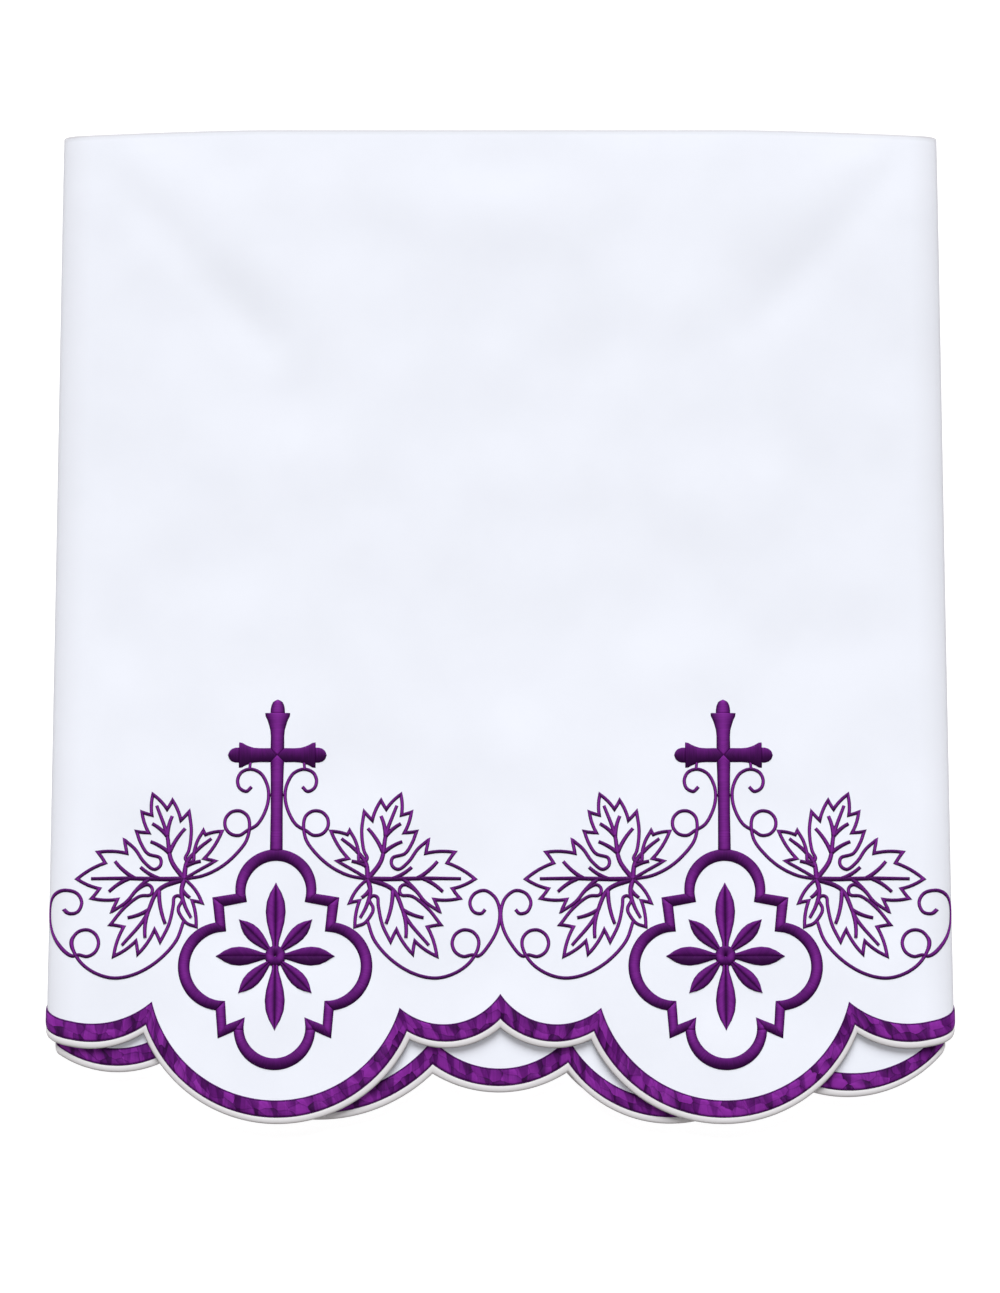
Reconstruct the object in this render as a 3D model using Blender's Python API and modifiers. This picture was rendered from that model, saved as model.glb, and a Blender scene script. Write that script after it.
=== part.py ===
"""Altar cloth, folded in half along its top edge and then folded behind at both sides, lying face up."""

import math

import bpy
from mathutils import Vector
from mathutils.geometry import delaunay_2d_cdt

MM = 0.001

# The folded pack, in millimetres. The hem points along -Y and the face looks along +Z.
PACK_WIDTH = 718.0
TOP_Y = 403.1
PLY = 1.0
PITCH = 4.0
PITCH_AT_TOP = 3.4
PITCH_CHANGES = (335.0, 400.0)
TOP_ROLL = PITCH_AT_TOP / 2
SIDE_ROLL_WIDTH = 20.0
INNER_ROLL_EDGE = 351.0
RETURN_END_X = 4.4
RETURN_RISE = 6.0
OUTER_ROLL_HEIGHT = 3 * PITCH
INNER_ROLL_HEIGHT = PITCH

# Where the plies part at the hem: all of them rise off the surface, and the front one lifts further.
HEM_RISE = 1.7
HEM_SPREAD = 0.55
HEM_RISE_FROM = -250.0
HEM_RISE_TO = -292.0
LIFT = 4.5
LIFT_FROM = -20.0

# Top corners: the folded edge drops a little towards both sides.
CORNER_DROP = 4.0
CORNER_DROP_FROM = 190.0
CORNER_DROP_AT = 324.0
CORNER_DROP_POWER = 1.5
CORNER_DROP_HEIGHTS = (200.0, 395.0)

# Border and edging along both hems.
EDGE_SHARE = 0.26
BORDER_THICK = 0.8
EDGING_THICK = 1.8
EDGING_GAP_SHARE = 0.085
STITCH_GAP = 0.6

# Embroidered pieces on the face.
MOTIF_X = 178.2
CROSS_Y = -112.6
MEDALLION_Y = -279.2
SATIN_THICK = 1.0

# Front hem from the middle out to the free edge of a return, the same on both sides:
# outer notch x, outer notch y, inner peak x, inner peak y, then the lowest y of the scallop that follows,
# outside and inside.
FRONT_HEM = (
    (0.0, -328.3, 0.0, -301.6, -344.0, -325.5),
    (71.6, -337.5, 79.7, -312.5, -403.1, -384.8),
    (281.5, -332.5, 275.3, -307.7, -344.5, -325.0),
    (368.0, -329.5, 368.0, -308.5, -344.5, -325.0),
    (462.5, -332.5, 468.7, -307.7, -403.1, -384.8),
    (672.4, -337.5, 664.3, -312.5, -346.0, -326.0),
    (720.0, -338.0, 720.0, -314.0, None, None),
)
# Back hem from one free edge to the other: notch x, notch y, lowest y of the scallop that follows.
BACK_HEM = (
    (-700.0, -356.0, -376.0),
    (-658.0, -357.7, -399.0),
    (-461.0, -345.0, -363.0),
    (-363.0, -337.0, -363.0),
    (-250.0, -345.0, -400.0),
    (-53.5, -364.0, -378.8),
    (53.5, -362.5, -403.1),
    (214.0, -363.0, -382.4),
    (364.0, -326.0, -383.0),
    (500.0, -363.0, -403.1),
    (660.5, -357.7, -376.0),
    (700.0, -356.0, None),
)
BACK_PEAK_UP = 26.5
BACK_BAND_UP = 18.6

# Drag folds of the face: start x, start y, end x, end y, half width, height.
FACE_FOLDS = (
    (-335.0, 390.0, -120.0, 175.0, 24.0, 1.5),
    (-345.0, 345.0, -160.0, 140.0, 22.0, -1.3),
    (335.0, 390.0, 130.0, 185.0, 24.0, 1.5),
    (345.0, 345.0, 175.0, 150.0, 22.0, -1.3),
    (-150.0, 120.0, 140.0, 95.0, 40.0, 1.0),
    (-240.0, 250.0, -60.0, 200.0, 34.0, -0.8),
    (60.0, 205.0, 250.0, 250.0, 34.0, -0.8),
    (-60.0, 330.0, 70.0, 322.0, 30.0, 0.9),
)

# Where the folds fade out: towards the sides by -|x|, below the top edge, and above the embroidery.
RELIEF_FADE_SIDE = (-330.0, -290.0)
RELIEF_FADE_TOP = (8.0, 40.0)
RELIEF_FADE_LOW = (0.0, 60.0)

# Columns and rows of the flat cloth, before the hems' own points are added.
CENTRE_COLUMNS = 16
ROLL_COLUMNS = 8
RETURN_COLUMNS = 6
TOP_ROLL_ROWS = 6
FACE_ROWS = (-372.0, -345.0, -318.0, -292.0, -271.0, -250.0, -190.0, -110.0, -20.0, 22.0, 66.0, 110.0, 154.0,
             198.0, 242.0, 284.0, 322.0, 354.0, 380.0)
BACK_ROWS = (380.0, 340.0, 280.0, 200.0, 100.0, 0.0, -120.0, -250.0, -271.0, -292.0, -325.0, -352.0, -378.0)
HEM_STEP = 13.0
HEM_CLEARANCE = 7.0

# Half profile of one arm of the cross: distance from its middle, half width.
HEAD_ARM = ((0.0, 5.6), (15.0, 5.5), (20.0, 5.9), (24.0, 7.0), (28.0, 8.3), (31.3, 10.0), (33.0, 10.0), (34.6, 6.4),
            (36.5, 5.8), (40.0, 5.2), (42.6, 3.9), (44.1, 1.9), (44.6, 0.0))
SIDE_ARM = ((0.0, 5.8), (14.0, 5.7), (20.0, 6.0), (24.5, 7.6), (27.2, 10.0), (29.2, 10.2), (31.0, 7.8), (32.2, 5.3),
            (34.6, 5.5), (37.0, 4.8), (38.7, 2.6), (39.2, 0.0))
FOOT_ARM = ((0.0, 5.6), (20.0, 5.2), (45.0, 4.9), (74.0, 4.9), (74.0, 0.0))

# Centre line of the right half of the four-lobed frame, from its top: straight points and arcs.
# Rows: kind, x, y, then for an arc its radius, start angle and end angle in degrees.
FRAME_WIDTH = 9.0
FRAME_HALF = (
    ("arc", 0.0, 58.8, 28.1, 90.0, -12.0),
    ("point", 45.3, 49.1),
    ("arc", 40.9, -0.6, 31.0, 85.0, -85.0),
    ("point", 40.4, -49.9),
    ("point", 28.0, -45.2),
    ("arc", 0.0, -49.2, 28.3, -8.0, -90.0),
)

# The eight-petalled rosette in each frame: angle of a petal in degrees, its length and its half width.
ROSETTE_UP = 7.0
ROSETTE_HUB = 8.5
PETALS = ((90, 58.0, 8.2), (45, 41.0, 6.2), (0, 47.0, 7.8), (-45, 41.0, 6.2), (-90, 58.0, 8.2), (-135, 41.0, 6.2),
          (-180, 47.0, 7.8), (-225, 41.0, 6.2))
# Outline of a petal: share of its length, share of its half width.
PETAL_SIDE = ((0.2, 0.36), (0.32, 0.62), (0.46, 0.88), (0.6, 1.0), (0.74, 0.9), (0.86, 0.58), (0.95, 0.2), (1.0, 0.0))


def smooth_step(value, low, high):
    share = min(1.0, max(0.0, (value - low) / (high - low)))
    return share * share * (3 - 2 * share)


def segment_distance(x, y, x0, y0, x1, y1):
    """Distance of a point from a segment."""
    along = ((x - x0) * (x1 - x0) + (y - y0) * (y1 - y0)) / ((x1 - x0) ** 2 + (y1 - y0) ** 2)
    along = min(1.0, max(0.0, along))
    return math.hypot(x - x0 - along * (x1 - x0), y - y0 - along * (y1 - y0))


def face_relief(x, y):
    """Height of the drag folds above the flat face."""
    fade = smooth_step(-abs(x), *RELIEF_FADE_SIDE) * smooth_step(TOP_Y - y, *RELIEF_FADE_TOP)
    fade *= smooth_step(y - LIFT_FROM, *RELIEF_FADE_LOW)
    if fade == 0:
        return 0.0
    height = 0.0
    for x0, y0, x1, y1, half_width, rise in FACE_FOLDS:
        height += rise * math.exp(-((segment_distance(x, y, x0, y0, x1, y1) / half_width) ** 2))
    return fade * height


def lift(y):
    """The front ply's rise towards its hem, a plane under all the embroidery."""
    return LIFT * max(0.0, LIFT_FROM - y) / (LIFT_FROM + TOP_Y)


def level(ply_number, x, y):
    """Height of a ply's middle: 0 is the outer return, which lies lowest, and 3 is the face."""
    pitch = PITCH + (PITCH_AT_TOP - PITCH) * smooth_step(y, *PITCH_CHANGES)
    height = PLY / 2 + ply_number * pitch
    if ply_number == 3:
        return height + lift(y) + face_relief(x, y)
    rise = HEM_RISE + HEM_SPREAD * ply_number
    return height + rise * (1 - smooth_step(y, HEM_RISE_TO, HEM_RISE_FROM))


class SidePath:
    """The way a cloth edge runs across the pack: over the front, round both side rolls and back behind."""

    def __init__(self, half_front, roll_width, roll_height, top_ply, low_ply):
        self.half_front = half_front
        self.roll_width = roll_width
        self.top_ply = top_ply
        self.low_ply = low_ply
        self.roll_length = self.half_perimeter(roll_width, roll_height / 2)
        self.end = half_front + self.roll_length + half_front - RETURN_END_X

    @staticmethod
    def half_perimeter(a, b):
        return math.pi / 2 * (3 * (a + b) - math.sqrt((3 * a + b) * (a + 3 * b)))

    def point(self, u, y):
        """Position of the ply's middle at distance u along the path, at height y of the front."""
        side = 1 if u >= 0 else -1
        past = abs(u) - self.half_front
        turn = min(1.0, max(0.0, past / self.roll_length)) * math.pi
        x = self.half_front + self.roll_width * math.sin(turn)
        if past < 0:
            x = abs(u)
        elif past > self.roll_length:
            x = self.half_front - (past - self.roll_length)
        y += RETURN_RISE * smooth_step(turn, 0, math.pi) * (TOP_Y - y) / (2 * TOP_Y)
        upper = level(self.top_ply, side * x, y)
        lower = level(self.low_ply, side * x, y)
        z = (upper + lower) / 2 + (upper - lower) / 2 * math.cos(turn)
        return side * x, y, z


OUTER_PATH = SidePath(PACK_WIDTH / 2 - SIDE_ROLL_WIDTH, SIDE_ROLL_WIDTH - PLY / 2, OUTER_ROLL_HEIGHT, 3, 0)
INNER_PATH = SidePath(INNER_ROLL_EDGE - INNER_ROLL_HEIGHT / 2, INNER_ROLL_HEIGHT / 2, INNER_ROLL_HEIGHT, 2, 1)
CLOTH_END = OUTER_PATH.end
TOP_LINE = TOP_Y - PLY / 2 - TOP_ROLL
ROLL_LENGTH = math.pi * TOP_ROLL


def path_stops(path):
    return (0.0, path.half_front, path.half_front + path.roll_length, path.end)


def convert(value, stops, other_stops):
    """Moves a distance along one path to the like place on the other path."""
    side = 1 if value >= 0 else -1
    value = abs(value)
    for i in range(3):
        if value <= stops[i + 1] or i == 2:
            share = (value - stops[i]) / (stops[i + 1] - stops[i])
            return side * (other_stops[i] + share * (other_stops[i + 1] - other_stops[i]))


def cloth_point(u, v):
    """Maps the flat cloth to the folded one. v is the height on the front, and goes on over the top roll."""
    inner_u = convert(u, path_stops(OUTER_PATH), path_stops(INNER_PATH))
    over = v - TOP_LINE
    if over <= 0:
        x, y, z = OUTER_PATH.point(u, v)
    elif over >= ROLL_LENGTH:
        x, y, z = INNER_PATH.point(inner_u, TOP_LINE - (over - ROLL_LENGTH))
    else:
        turn = over / TOP_ROLL
        outer = OUTER_PATH.point(u, TOP_LINE)
        inner = INNER_PATH.point(inner_u, TOP_LINE)
        share = (1 - math.cos(turn)) / 2
        x, z = (outer[i] + share * (inner[i] - outer[i]) for i in (0, 2))
        y = TOP_LINE + TOP_ROLL * math.sin(turn)
    beyond = max(0.0, (abs(x) - CORNER_DROP_FROM) / (CORNER_DROP_AT - CORNER_DROP_FROM))
    y -= CORNER_DROP * beyond ** CORNER_DROP_POWER * smooth_step(y, *CORNER_DROP_HEIGHTS)
    return Vector((x, y, z))


def cloth_normal(u, v):
    """The outward side of the folded cloth."""
    step = 0.2
    along = cloth_point(u + step, v) - cloth_point(u - step, v)
    up = cloth_point(u, v + step) - cloth_point(u, v - step)
    return along.cross(up).normalized()


def scallop(left, right, lowest):
    """A circle through two notches that reaches down to a given y: its centre x, centre y and radius."""
    (x1, y1), (x2, y2) = left, right
    h1, h2 = y1 - lowest, y2 - lowest
    reach = abs(x2 - x1) * math.sqrt(h1) / (math.sqrt(h1) + math.sqrt(h2))
    centre = x1 + reach
    for _ in range(40):
        radius = ((x1 - centre) ** 2 + h1 * h1) / (2 * h1)
        half = math.sqrt(max(1.0, 2 * radius * h2 - h2 * h2))
        centre += 0.5 * ((x2 - half) - centre)
    radius = ((x1 - centre) ** 2 + h1 * h1) / (2 * h1)
    return centre, lowest + radius, radius


def hem_curve(notches, lows):
    """A function of (scallop number, share across it) that gives the points of one scalloped line."""
    circles = [scallop(notches[i], notches[i + 1], lows[i]) for i in range(len(lows))]

    def point(number, share):
        x = notches[number][0] + share * (notches[number + 1][0] - notches[number][0])
        centre, middle, radius = circles[number]
        y = middle - math.sqrt(max(0.0, radius * radius - (x - centre) ** 2))
        blend = notches[number][1] + share * (notches[number + 1][1] - notches[number][1])
        return x, y if 0 < share < 1 else blend

    return point


def mirrored(rows):
    """The hem's rows on both sides of the middle, from the left free edge to the right one."""
    left = []
    for i in range(len(rows) - 1, 0, -1):
        row, before = rows[i], rows[i - 1]
        left.append((-row[0], row[1], -row[2], row[3], before[4], before[5]))
    return left + list(rows)


def front_lines():
    rows = mirrored(FRONT_HEM)
    outer = hem_curve([(row[0], row[1]) for row in rows], [row[4] for row in rows[:-1]])
    inner = hem_curve([(row[2], row[3]) for row in rows], [row[5] for row in rows[:-1]])
    return outer, inner, len(rows) - 1


def back_lines():
    notches = [(x, y) for x, y, _ in BACK_HEM]
    peaks = [(x, y + BACK_PEAK_UP) for x, y in notches]
    lows = [low for _, _, low in BACK_HEM[:-1]]
    outer = hem_curve(notches, lows)
    inner = hem_curve(peaks, [low + BACK_BAND_UP for low in lows])
    return on_outer_path(outer), on_outer_path(inner), len(lows)


def on_outer_path(curve):
    """The same line, with its distance measured along the outer path."""

    def point(number, share):
        x, y = curve(number, share)
        return convert(x, path_stops(INNER_PATH), path_stops(OUTER_PATH)), y

    return point


def between(a, b, share):
    return a[0] + share * (b[0] - a[0]), a[1] + share * (b[1] - a[1])


def across_hem(lines, number, share, reach):
    """A point between the hem's outer line, at reach 0, and its inner line, at reach 1."""
    return between(lines[0](number, share), lines[1](number, share), reach)


def roll_columns():
    start, length = OUTER_PATH.half_front, OUTER_PATH.roll_length
    return [start + length * i / ROLL_COLUMNS for i in range(ROLL_COLUMNS + 1)]


def column_places():
    """All columns of the flat cloth, left to right."""
    half = [OUTER_PATH.half_front * i / (CENTRE_COLUMNS / 2) for i in range(1, CENTRE_COLUMNS // 2)]
    half += roll_columns()
    start = half[-1]
    half += [start + (CLOTH_END - start) * i / RETURN_COLUMNS for i in range(1, RETURN_COLUMNS + 1)]
    return [-u for u in reversed(half)] + [0.0] + half


def share_at(lines, number, place):
    """The share across a scallop at which the cloth's edge crosses a column, or None."""
    low, high = 0.0, 1.0
    if not across_hem(lines, number, low, EDGE_SHARE)[0] < place < across_hem(lines, number, high, EDGE_SHARE)[0]:
        return None
    for _ in range(40):
        middle = (low + high) / 2
        if across_hem(lines, number, middle, EDGE_SHARE)[0] < place:
            low = middle
        else:
            high = middle
    return middle


def hem_samples(lines):
    """(scallop number, share) pairs along a hem: arcs in even steps, and the columns of both rolls."""
    samples = []
    columns = roll_columns()
    for number in range(lines[2]):
        left = across_hem(lines, number, 0, EDGE_SHARE)[0]
        right = across_hem(lines, number, 1, EDGE_SHARE)[0]
        count = max(4, round((right - left) / HEM_STEP))
        shares = [0.5 * i / count + 0.25 * (1 - math.cos(math.pi * i / count)) for i in range(count)]
        crossed = [share_at(lines, number, side * column) for column in columns for side in (1, -1)]
        crossed = [share for share in crossed if share is not None]
        nearest = HEM_STEP / 4 / (right - left)
        shares = [s for s in shares if s == 0 or all(abs(s - other) > nearest for other in crossed)]
        samples += [(number, share) for share in sorted(shares + crossed)]
    return samples + [(lines[2] - 1, 1.0)]


def hem_top_v(y):
    """The flat height of a point of the back hem, measured over the top roll."""
    return TOP_LINE + ROLL_LENGTH + TOP_LINE - y


def material(name, colour, roughness):
    made = bpy.data.materials.new(name)
    made.use_nodes = True
    shader = made.node_tree.nodes["Principled BSDF"]
    shader.inputs["Base Color"].default_value = (*colour, 1.0)
    shader.inputs["Roughness"].default_value = roughness
    shader.inputs["Metallic"].default_value = 0.0
    return made


def add_mesh(name, points, faces, finish, collection):
    mesh = bpy.data.meshes.new(name)
    mesh.from_pydata([Vector(p) * MM for p in points], [], faces)
    made = bpy.data.objects.new(name, mesh)
    mesh.materials.append(finish)
    collection.objects.link(made)
    return made


def thicken(made, thickness, offset):
    solid = made.modifiers.new("Thickness", "SOLIDIFY")
    solid.thickness = thickness * MM
    solid.offset = offset
    solid.use_even_offset = True
    return made


def flat_cloth():
    """Triangles of the cloth before it is folded, in (u, v): a lattice that ends in two scalloped hems."""
    front, back = front_lines(), back_lines()
    front_edge = [across_hem(front, n, s, EDGE_SHARE) for n, s in hem_samples(front)]
    back_edge = [across_hem(back, n, s, EDGE_SHARE) for n, s in hem_samples(back)]
    front_edge[0], front_edge[-1] = (-CLOTH_END, front_edge[0][1]), (CLOTH_END, front_edge[-1][1])
    back_edge[0], back_edge[-1] = (-CLOTH_END, back_edge[0][1]), (CLOTH_END, back_edge[-1][1])
    roll_rows = [TOP_LINE + ROLL_LENGTH * i / TOP_ROLL_ROWS for i in range(TOP_ROLL_ROWS + 1)]
    rows = list(FACE_ROWS) + roll_rows + [hem_top_v(y) for y in BACK_ROWS]
    lowest, highest = front_edge[0][1], hem_top_v(back_edge[0][1])
    side_rows = [v for v in rows if lowest + HEM_CLEARANCE < v < highest - HEM_CLEARANCE]
    outline = list(front_edge)
    outline += [(CLOTH_END, v) for v in side_rows]
    outline += [(u, hem_top_v(y)) for u, y in reversed(back_edge)]
    outline += [(-CLOTH_END, v) for v in reversed(side_rows)]

    def hem_at(edge, u):
        for (u0, y0), (u1, y1) in zip(edge, edge[1:]):
            if u0 <= u <= u1:
                return y0 + (y1 - y0) * (u - u0) / max(1e-9, u1 - u0)
        return edge[-1][1]

    inner = []
    for u in column_places()[1:-1]:
        lowest = hem_at(front_edge, u) + HEM_CLEARANCE
        highest = hem_top_v(hem_at(back_edge, u)) - HEM_CLEARANCE
        inner += [(u, v) for v in rows if lowest < v < highest]
    border = [(i, (i + 1) % len(outline)) for i in range(len(outline))]
    points = [Vector(p) for p in outline + inner]
    made = delaunay_2d_cdt(points, border, [], 1, 1e-4)
    return made[0], made[2]


def altar_cloth(collection):
    points, faces = flat_cloth()
    linen = material("white_cloth", (0.86, 0.87, 0.9), 0.85)
    folded = [cloth_point(p.x, p.y) for p in points]
    return thicken(add_mesh("altar_cloth", folded, faces, linen, collection), PLY, 0.0)


def hem_strip(name, lines, reaches, raised, on_back, finish, collection):
    """An open strip along a hem, between two reaches, standing off the cloth's middle by the amount raised."""
    points, faces = [], []
    samples = hem_samples(lines)
    for number, share in samples:
        for reach in reaches:
            u, y = across_hem(lines, number, share, reach)
            u = min(CLOTH_END, max(-CLOTH_END, u))
            v = hem_top_v(y) if on_back else y
            side = -1 if on_back else 1
            points.append(cloth_point(u, v) + side * raised * cloth_normal(u, v))
    wide = len(reaches)
    for i in range(len(samples) - 1):
        for j in range(wide - 1):
            corner = i * wide + j
            faces.append((corner, corner + wide, corner + wide + 1, corner + 1))
    return add_mesh(name, points, faces, finish, collection)


def borders(collection):
    purple = material("purple_satin_stitch", (0.16, 0.02, 0.3), 0.45)
    white = material("white_cord_stitch", (0.84, 0.83, 0.85), 0.7)
    for place, lines, on_back in (("front", front_lines(), False), ("back", back_lines(), True)):
        raised = PLY / 2 + STITCH_GAP
        band = hem_strip("border_" + place, lines, (EDGE_SHARE, 1.0), raised, on_back, purple, collection)
        thicken(band, BORDER_THICK, 1.0)
        reaches = (0.0, EDGE_SHARE - EDGING_GAP_SHARE)
        cord = hem_strip("edging_" + place, lines, reaches, 0.0, on_back, white, collection)
        thicken(cord, EDGING_THICK, 0.0)


def face_plane(collection):
    """An empty on the plane of the face, just above the cloth, that carries the embroidery."""
    plane = bpy.data.objects.new("face_plane", None)
    slope = LIFT / (LIFT_FROM + TOP_Y)
    plane.rotation_euler = (-math.atan(slope), 0, 0)
    plane.location = (0, LIFT_FROM * MM, (PLY + 3 * PITCH + STITCH_GAP) * MM)
    collection.objects.link(plane)
    return plane


def add_outline(name, loops, thickness, finish, plane, place, collection):
    """A flat outline with the given loops, raised to a thickness, at a place on the face."""
    curve = bpy.data.curves.new(name, "CURVE")
    curve.dimensions = "2D"
    curve.fill_mode = "BOTH"
    curve.extrude = thickness / 2 * MM
    for loop in loops:
        spline = curve.splines.new("POLY")
        spline.points.add(len(loop) - 1)
        for point, (x, y) in zip(spline.points, loop):
            point.co = (x * MM, y * MM, 0, 1)
        spline.use_cyclic_u = True
    curve.materials.append(finish)
    made = bpy.data.objects.new(name, curve)
    made.parent = plane
    made.location = (place[0] * MM, (place[1] - LIFT_FROM) * MM, thickness / 2 * MM)
    collection.objects.link(made)
    return made


def cross_loop():
    """Outline of the cross about the middle of its bar."""
    loop = []
    arms = ((0, HEAD_ARM), (-90, SIDE_ARM), (-180, FOOT_ARM), (-270, SIDE_ARM))
    for (angle, arm), (_, following) in zip(arms, arms[1:] + arms[:1]):
        side = Vector((math.cos(math.radians(angle)), math.sin(math.radians(angle))))
        along = Vector((-side.y, side.x))
        inside = following[0][1]
        left = [along * reach - side * half for reach, half in arm if reach > inside]
        right = [along * reach + side * half for reach, half in reversed(arm) if reach > inside and half > 0]
        corner = along * inside + side * arm[0][1]
        loop += [tuple(p) for p in left + right] + [tuple(corner)]
    return loop


def frame_line():
    """Centre line of the whole four-lobed frame as a closed loop."""
    half = []
    for row in FRAME_HALF:
        if row[0] == "point":
            half.append((row[1], row[2]))
            continue
        _, x, y, radius, start, end = row
        steps = max(2, round(abs(end - start) / 18))
        for i in range(steps + 1):
            angle = math.radians(start + (end - start) * i / steps)
            half.append((x + radius * math.cos(angle), y + radius * math.sin(angle)))
    return half + [(-x, y) for x, y in reversed(half[1:-1])]


def offset_loop(line, distance):
    """A closed loop moved sideways by a distance, with mitred corners."""
    moved = []
    for i, here in enumerate(line):
        here = Vector(here)
        before = (here - Vector(line[i - 1])).normalized()
        after = (Vector(line[(i + 1) % len(line)]) - here).normalized()
        normal = Vector((before.y + after.y, -before.x - after.x)) / 2
        moved.append(tuple(here - normal * distance / max(0.15, normal.length_squared)))
    return moved


def rosette_loop():
    """Outline of the rosette about its middle, petal by petal, clockwise from the top."""
    loop = []
    gap = math.radians(360 / len(PETALS) / 2)
    for angle, length, half_width in PETALS:
        along = Vector((math.cos(math.radians(angle)), math.sin(math.radians(angle))))
        side = Vector((along.y, -along.x))
        left = [along * reach * length - side * share * half_width for reach, share in PETAL_SIDE]
        right = [along * reach * length + side * share * half_width for reach, share in reversed(PETAL_SIDE[:-1])]
        turn = math.radians(angle) - gap
        valley = (ROSETTE_HUB * math.cos(turn), ROSETTE_HUB * math.sin(turn))
        loop += [tuple(p) for p in left + right] + [valley]
    return loop


def embroidery(collection):
    """Crosses, four-lobed frames and the rosette inside each frame."""
    purple = material("purple_satin_motif", (0.17, 0.02, 0.31), 0.45)
    plane = face_plane(collection)
    line = frame_line()
    rims = [offset_loop(line, FRAME_WIDTH / 2), offset_loop(line[::-1], FRAME_WIDTH / 2)]
    shapes = (
        ("cross", [cross_loop()], CROSS_Y),
        ("medallion", rims, MEDALLION_Y),
        ("ornament", [rosette_loop()], MEDALLION_Y + ROSETTE_UP),
    )
    for side, x in (("left", -MOTIF_X), ("right", MOTIF_X)):
        for kind, loops, y in shapes:
            add_outline(kind + "_" + side, loops, SATIN_THICK, purple, plane, (x, y), collection)


def main():
    for old in list(bpy.data.objects):
        bpy.data.objects.remove(old)
    collection = bpy.data.collections.new("altar_cloth_folded")
    bpy.context.scene.collection.children.link(collection)
    altar_cloth(collection)
    borders(collection)
    embroidery(collection)


main()
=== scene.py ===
"""Looks of a folded altar cloth: white sheet, stitched borders, corded edging and embroidered motifs."""

import math

import bpy
import numpy as np
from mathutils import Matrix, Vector


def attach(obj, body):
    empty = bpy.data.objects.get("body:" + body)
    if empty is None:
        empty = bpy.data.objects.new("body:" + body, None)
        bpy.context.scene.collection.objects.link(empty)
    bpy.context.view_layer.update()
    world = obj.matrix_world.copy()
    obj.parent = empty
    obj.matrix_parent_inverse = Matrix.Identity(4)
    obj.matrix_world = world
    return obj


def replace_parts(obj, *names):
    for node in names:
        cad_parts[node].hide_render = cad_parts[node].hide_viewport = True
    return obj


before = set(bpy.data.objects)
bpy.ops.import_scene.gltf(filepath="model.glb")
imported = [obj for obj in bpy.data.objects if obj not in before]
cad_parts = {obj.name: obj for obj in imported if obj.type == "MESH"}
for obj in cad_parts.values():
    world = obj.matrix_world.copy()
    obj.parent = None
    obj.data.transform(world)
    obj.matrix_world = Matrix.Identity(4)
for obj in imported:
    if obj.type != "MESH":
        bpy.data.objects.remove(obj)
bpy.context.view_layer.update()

bl_info = {
    "name": "Folded altar cloth",
    "version": (1, 0, 0),
    "blender": (4, 5, 0),
    "location": "View3D > Sidebar > Altar cloth",
    "description": "Sheet, stitched borders and embroidery of a folded altar cloth",
    "category": "Add Mesh",
}

MM = 0.001

# The folded pack, in millimetres. The hem points along -Y and the face looks along +Z.
PACK_WIDTH = 718.0
TOP_Y = 403.1
PLY = 1.0
PITCH = 4.0
PITCH_AT_TOP = 3.4
PITCH_CHANGES = (335.0, 400.0)
TOP_ROLL = PITCH_AT_TOP / 2
SIDE_ROLL_WIDTH = 20.0
INNER_ROLL_EDGE = 351.0
RETURN_END_X = 4.4
RETURN_RISE = 6.0
OUTER_ROLL_HEIGHT = 3 * PITCH
INNER_ROLL_HEIGHT = PITCH
TOP_ROUNDING = 0.8
TOP_ROUNDING_FROM = 384.0
HEM_RISE = 1.7
HEM_SPREAD = 0.55
HEM_RISE_FROM = -250.0
HEM_RISE_TO = -292.0
LIFT = 4.5
LIFT_FROM = -20.0
CORNER_DROP = 4.0
CORNER_DROP_FROM = 190.0
CORNER_DROP_AT = 324.0
CORNER_DROP_POWER = 1.5
CORNER_DROP_HEIGHTS = (200.0, 395.0)
EDGE_SHARE = 0.26

# Hem rows: outer notch x, y, inner peak x, y, then the lowest y of the next scallop, outside and inside.
FRONT_HEM = (
    (0.0, -328.3, 0.0, -301.6, -344.0, -325.5),
    (71.6, -337.5, 79.7, -312.5, -403.1, -384.8),
    (281.5, -332.5, 275.3, -307.7, -344.5, -325.0),
    (368.0, -329.5, 368.0, -308.5, -344.5, -325.0),
    (462.5, -332.5, 468.7, -307.7, -403.1, -384.8),
    (672.4, -337.5, 664.3, -312.5, -346.0, -326.0),
    (720.0, -338.0, 720.0, -314.0, None, None),
)
# Back hem: notch x, notch y, lowest y of the next scallop.
BACK_HEM = (
    (-700.0, -356.0, -376.0),
    (-658.0, -357.7, -399.0),
    (-461.0, -345.0, -363.0),
    (-363.0, -337.0, -363.0),
    (-250.0, -345.0, -400.0),
    (-53.5, -364.0, -378.8),
    (53.5, -362.5, -403.1),
    (214.0, -363.0, -382.4),
    (364.0, -326.0, -383.0),
    (500.0, -363.0, -403.1),
    (660.5, -357.7, -376.0),
    (700.0, -356.0, None),
)
BACK_PEAK_UP = 26.5
BACK_BAND_UP = 18.6

# Drag folds of the face: start x, start y, end x, end y, half width, height.
FACE_FOLDS = (
    (-338.0, 386.0, -190.0, 225.0, 16.0, -1.1),
    (-290.0, 385.0, -100.0, 195.0, 28.0, 0.75),
    (338.0, 386.0, 200.0, 235.0, 16.0, -1.1),
    (290.0, 385.0, 110.0, 205.0, 28.0, 0.75),
    (-150.0, 120.0, 140.0, 95.0, 40.0, 0.75),
    (-240.0, 250.0, -60.0, 200.0, 34.0, -0.55),
    (60.0, 205.0, 250.0, 250.0, 34.0, -0.55),
    (-60.0, 330.0, 70.0, 322.0, 30.0, 0.65),
)
RELIEF_FADE_SIDE = (-339.0, -312.0)
RELIEF_FADE_TOP = (4.0, 24.0)
RELIEF_FADE_LOW = (0.0, 60.0)
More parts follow.
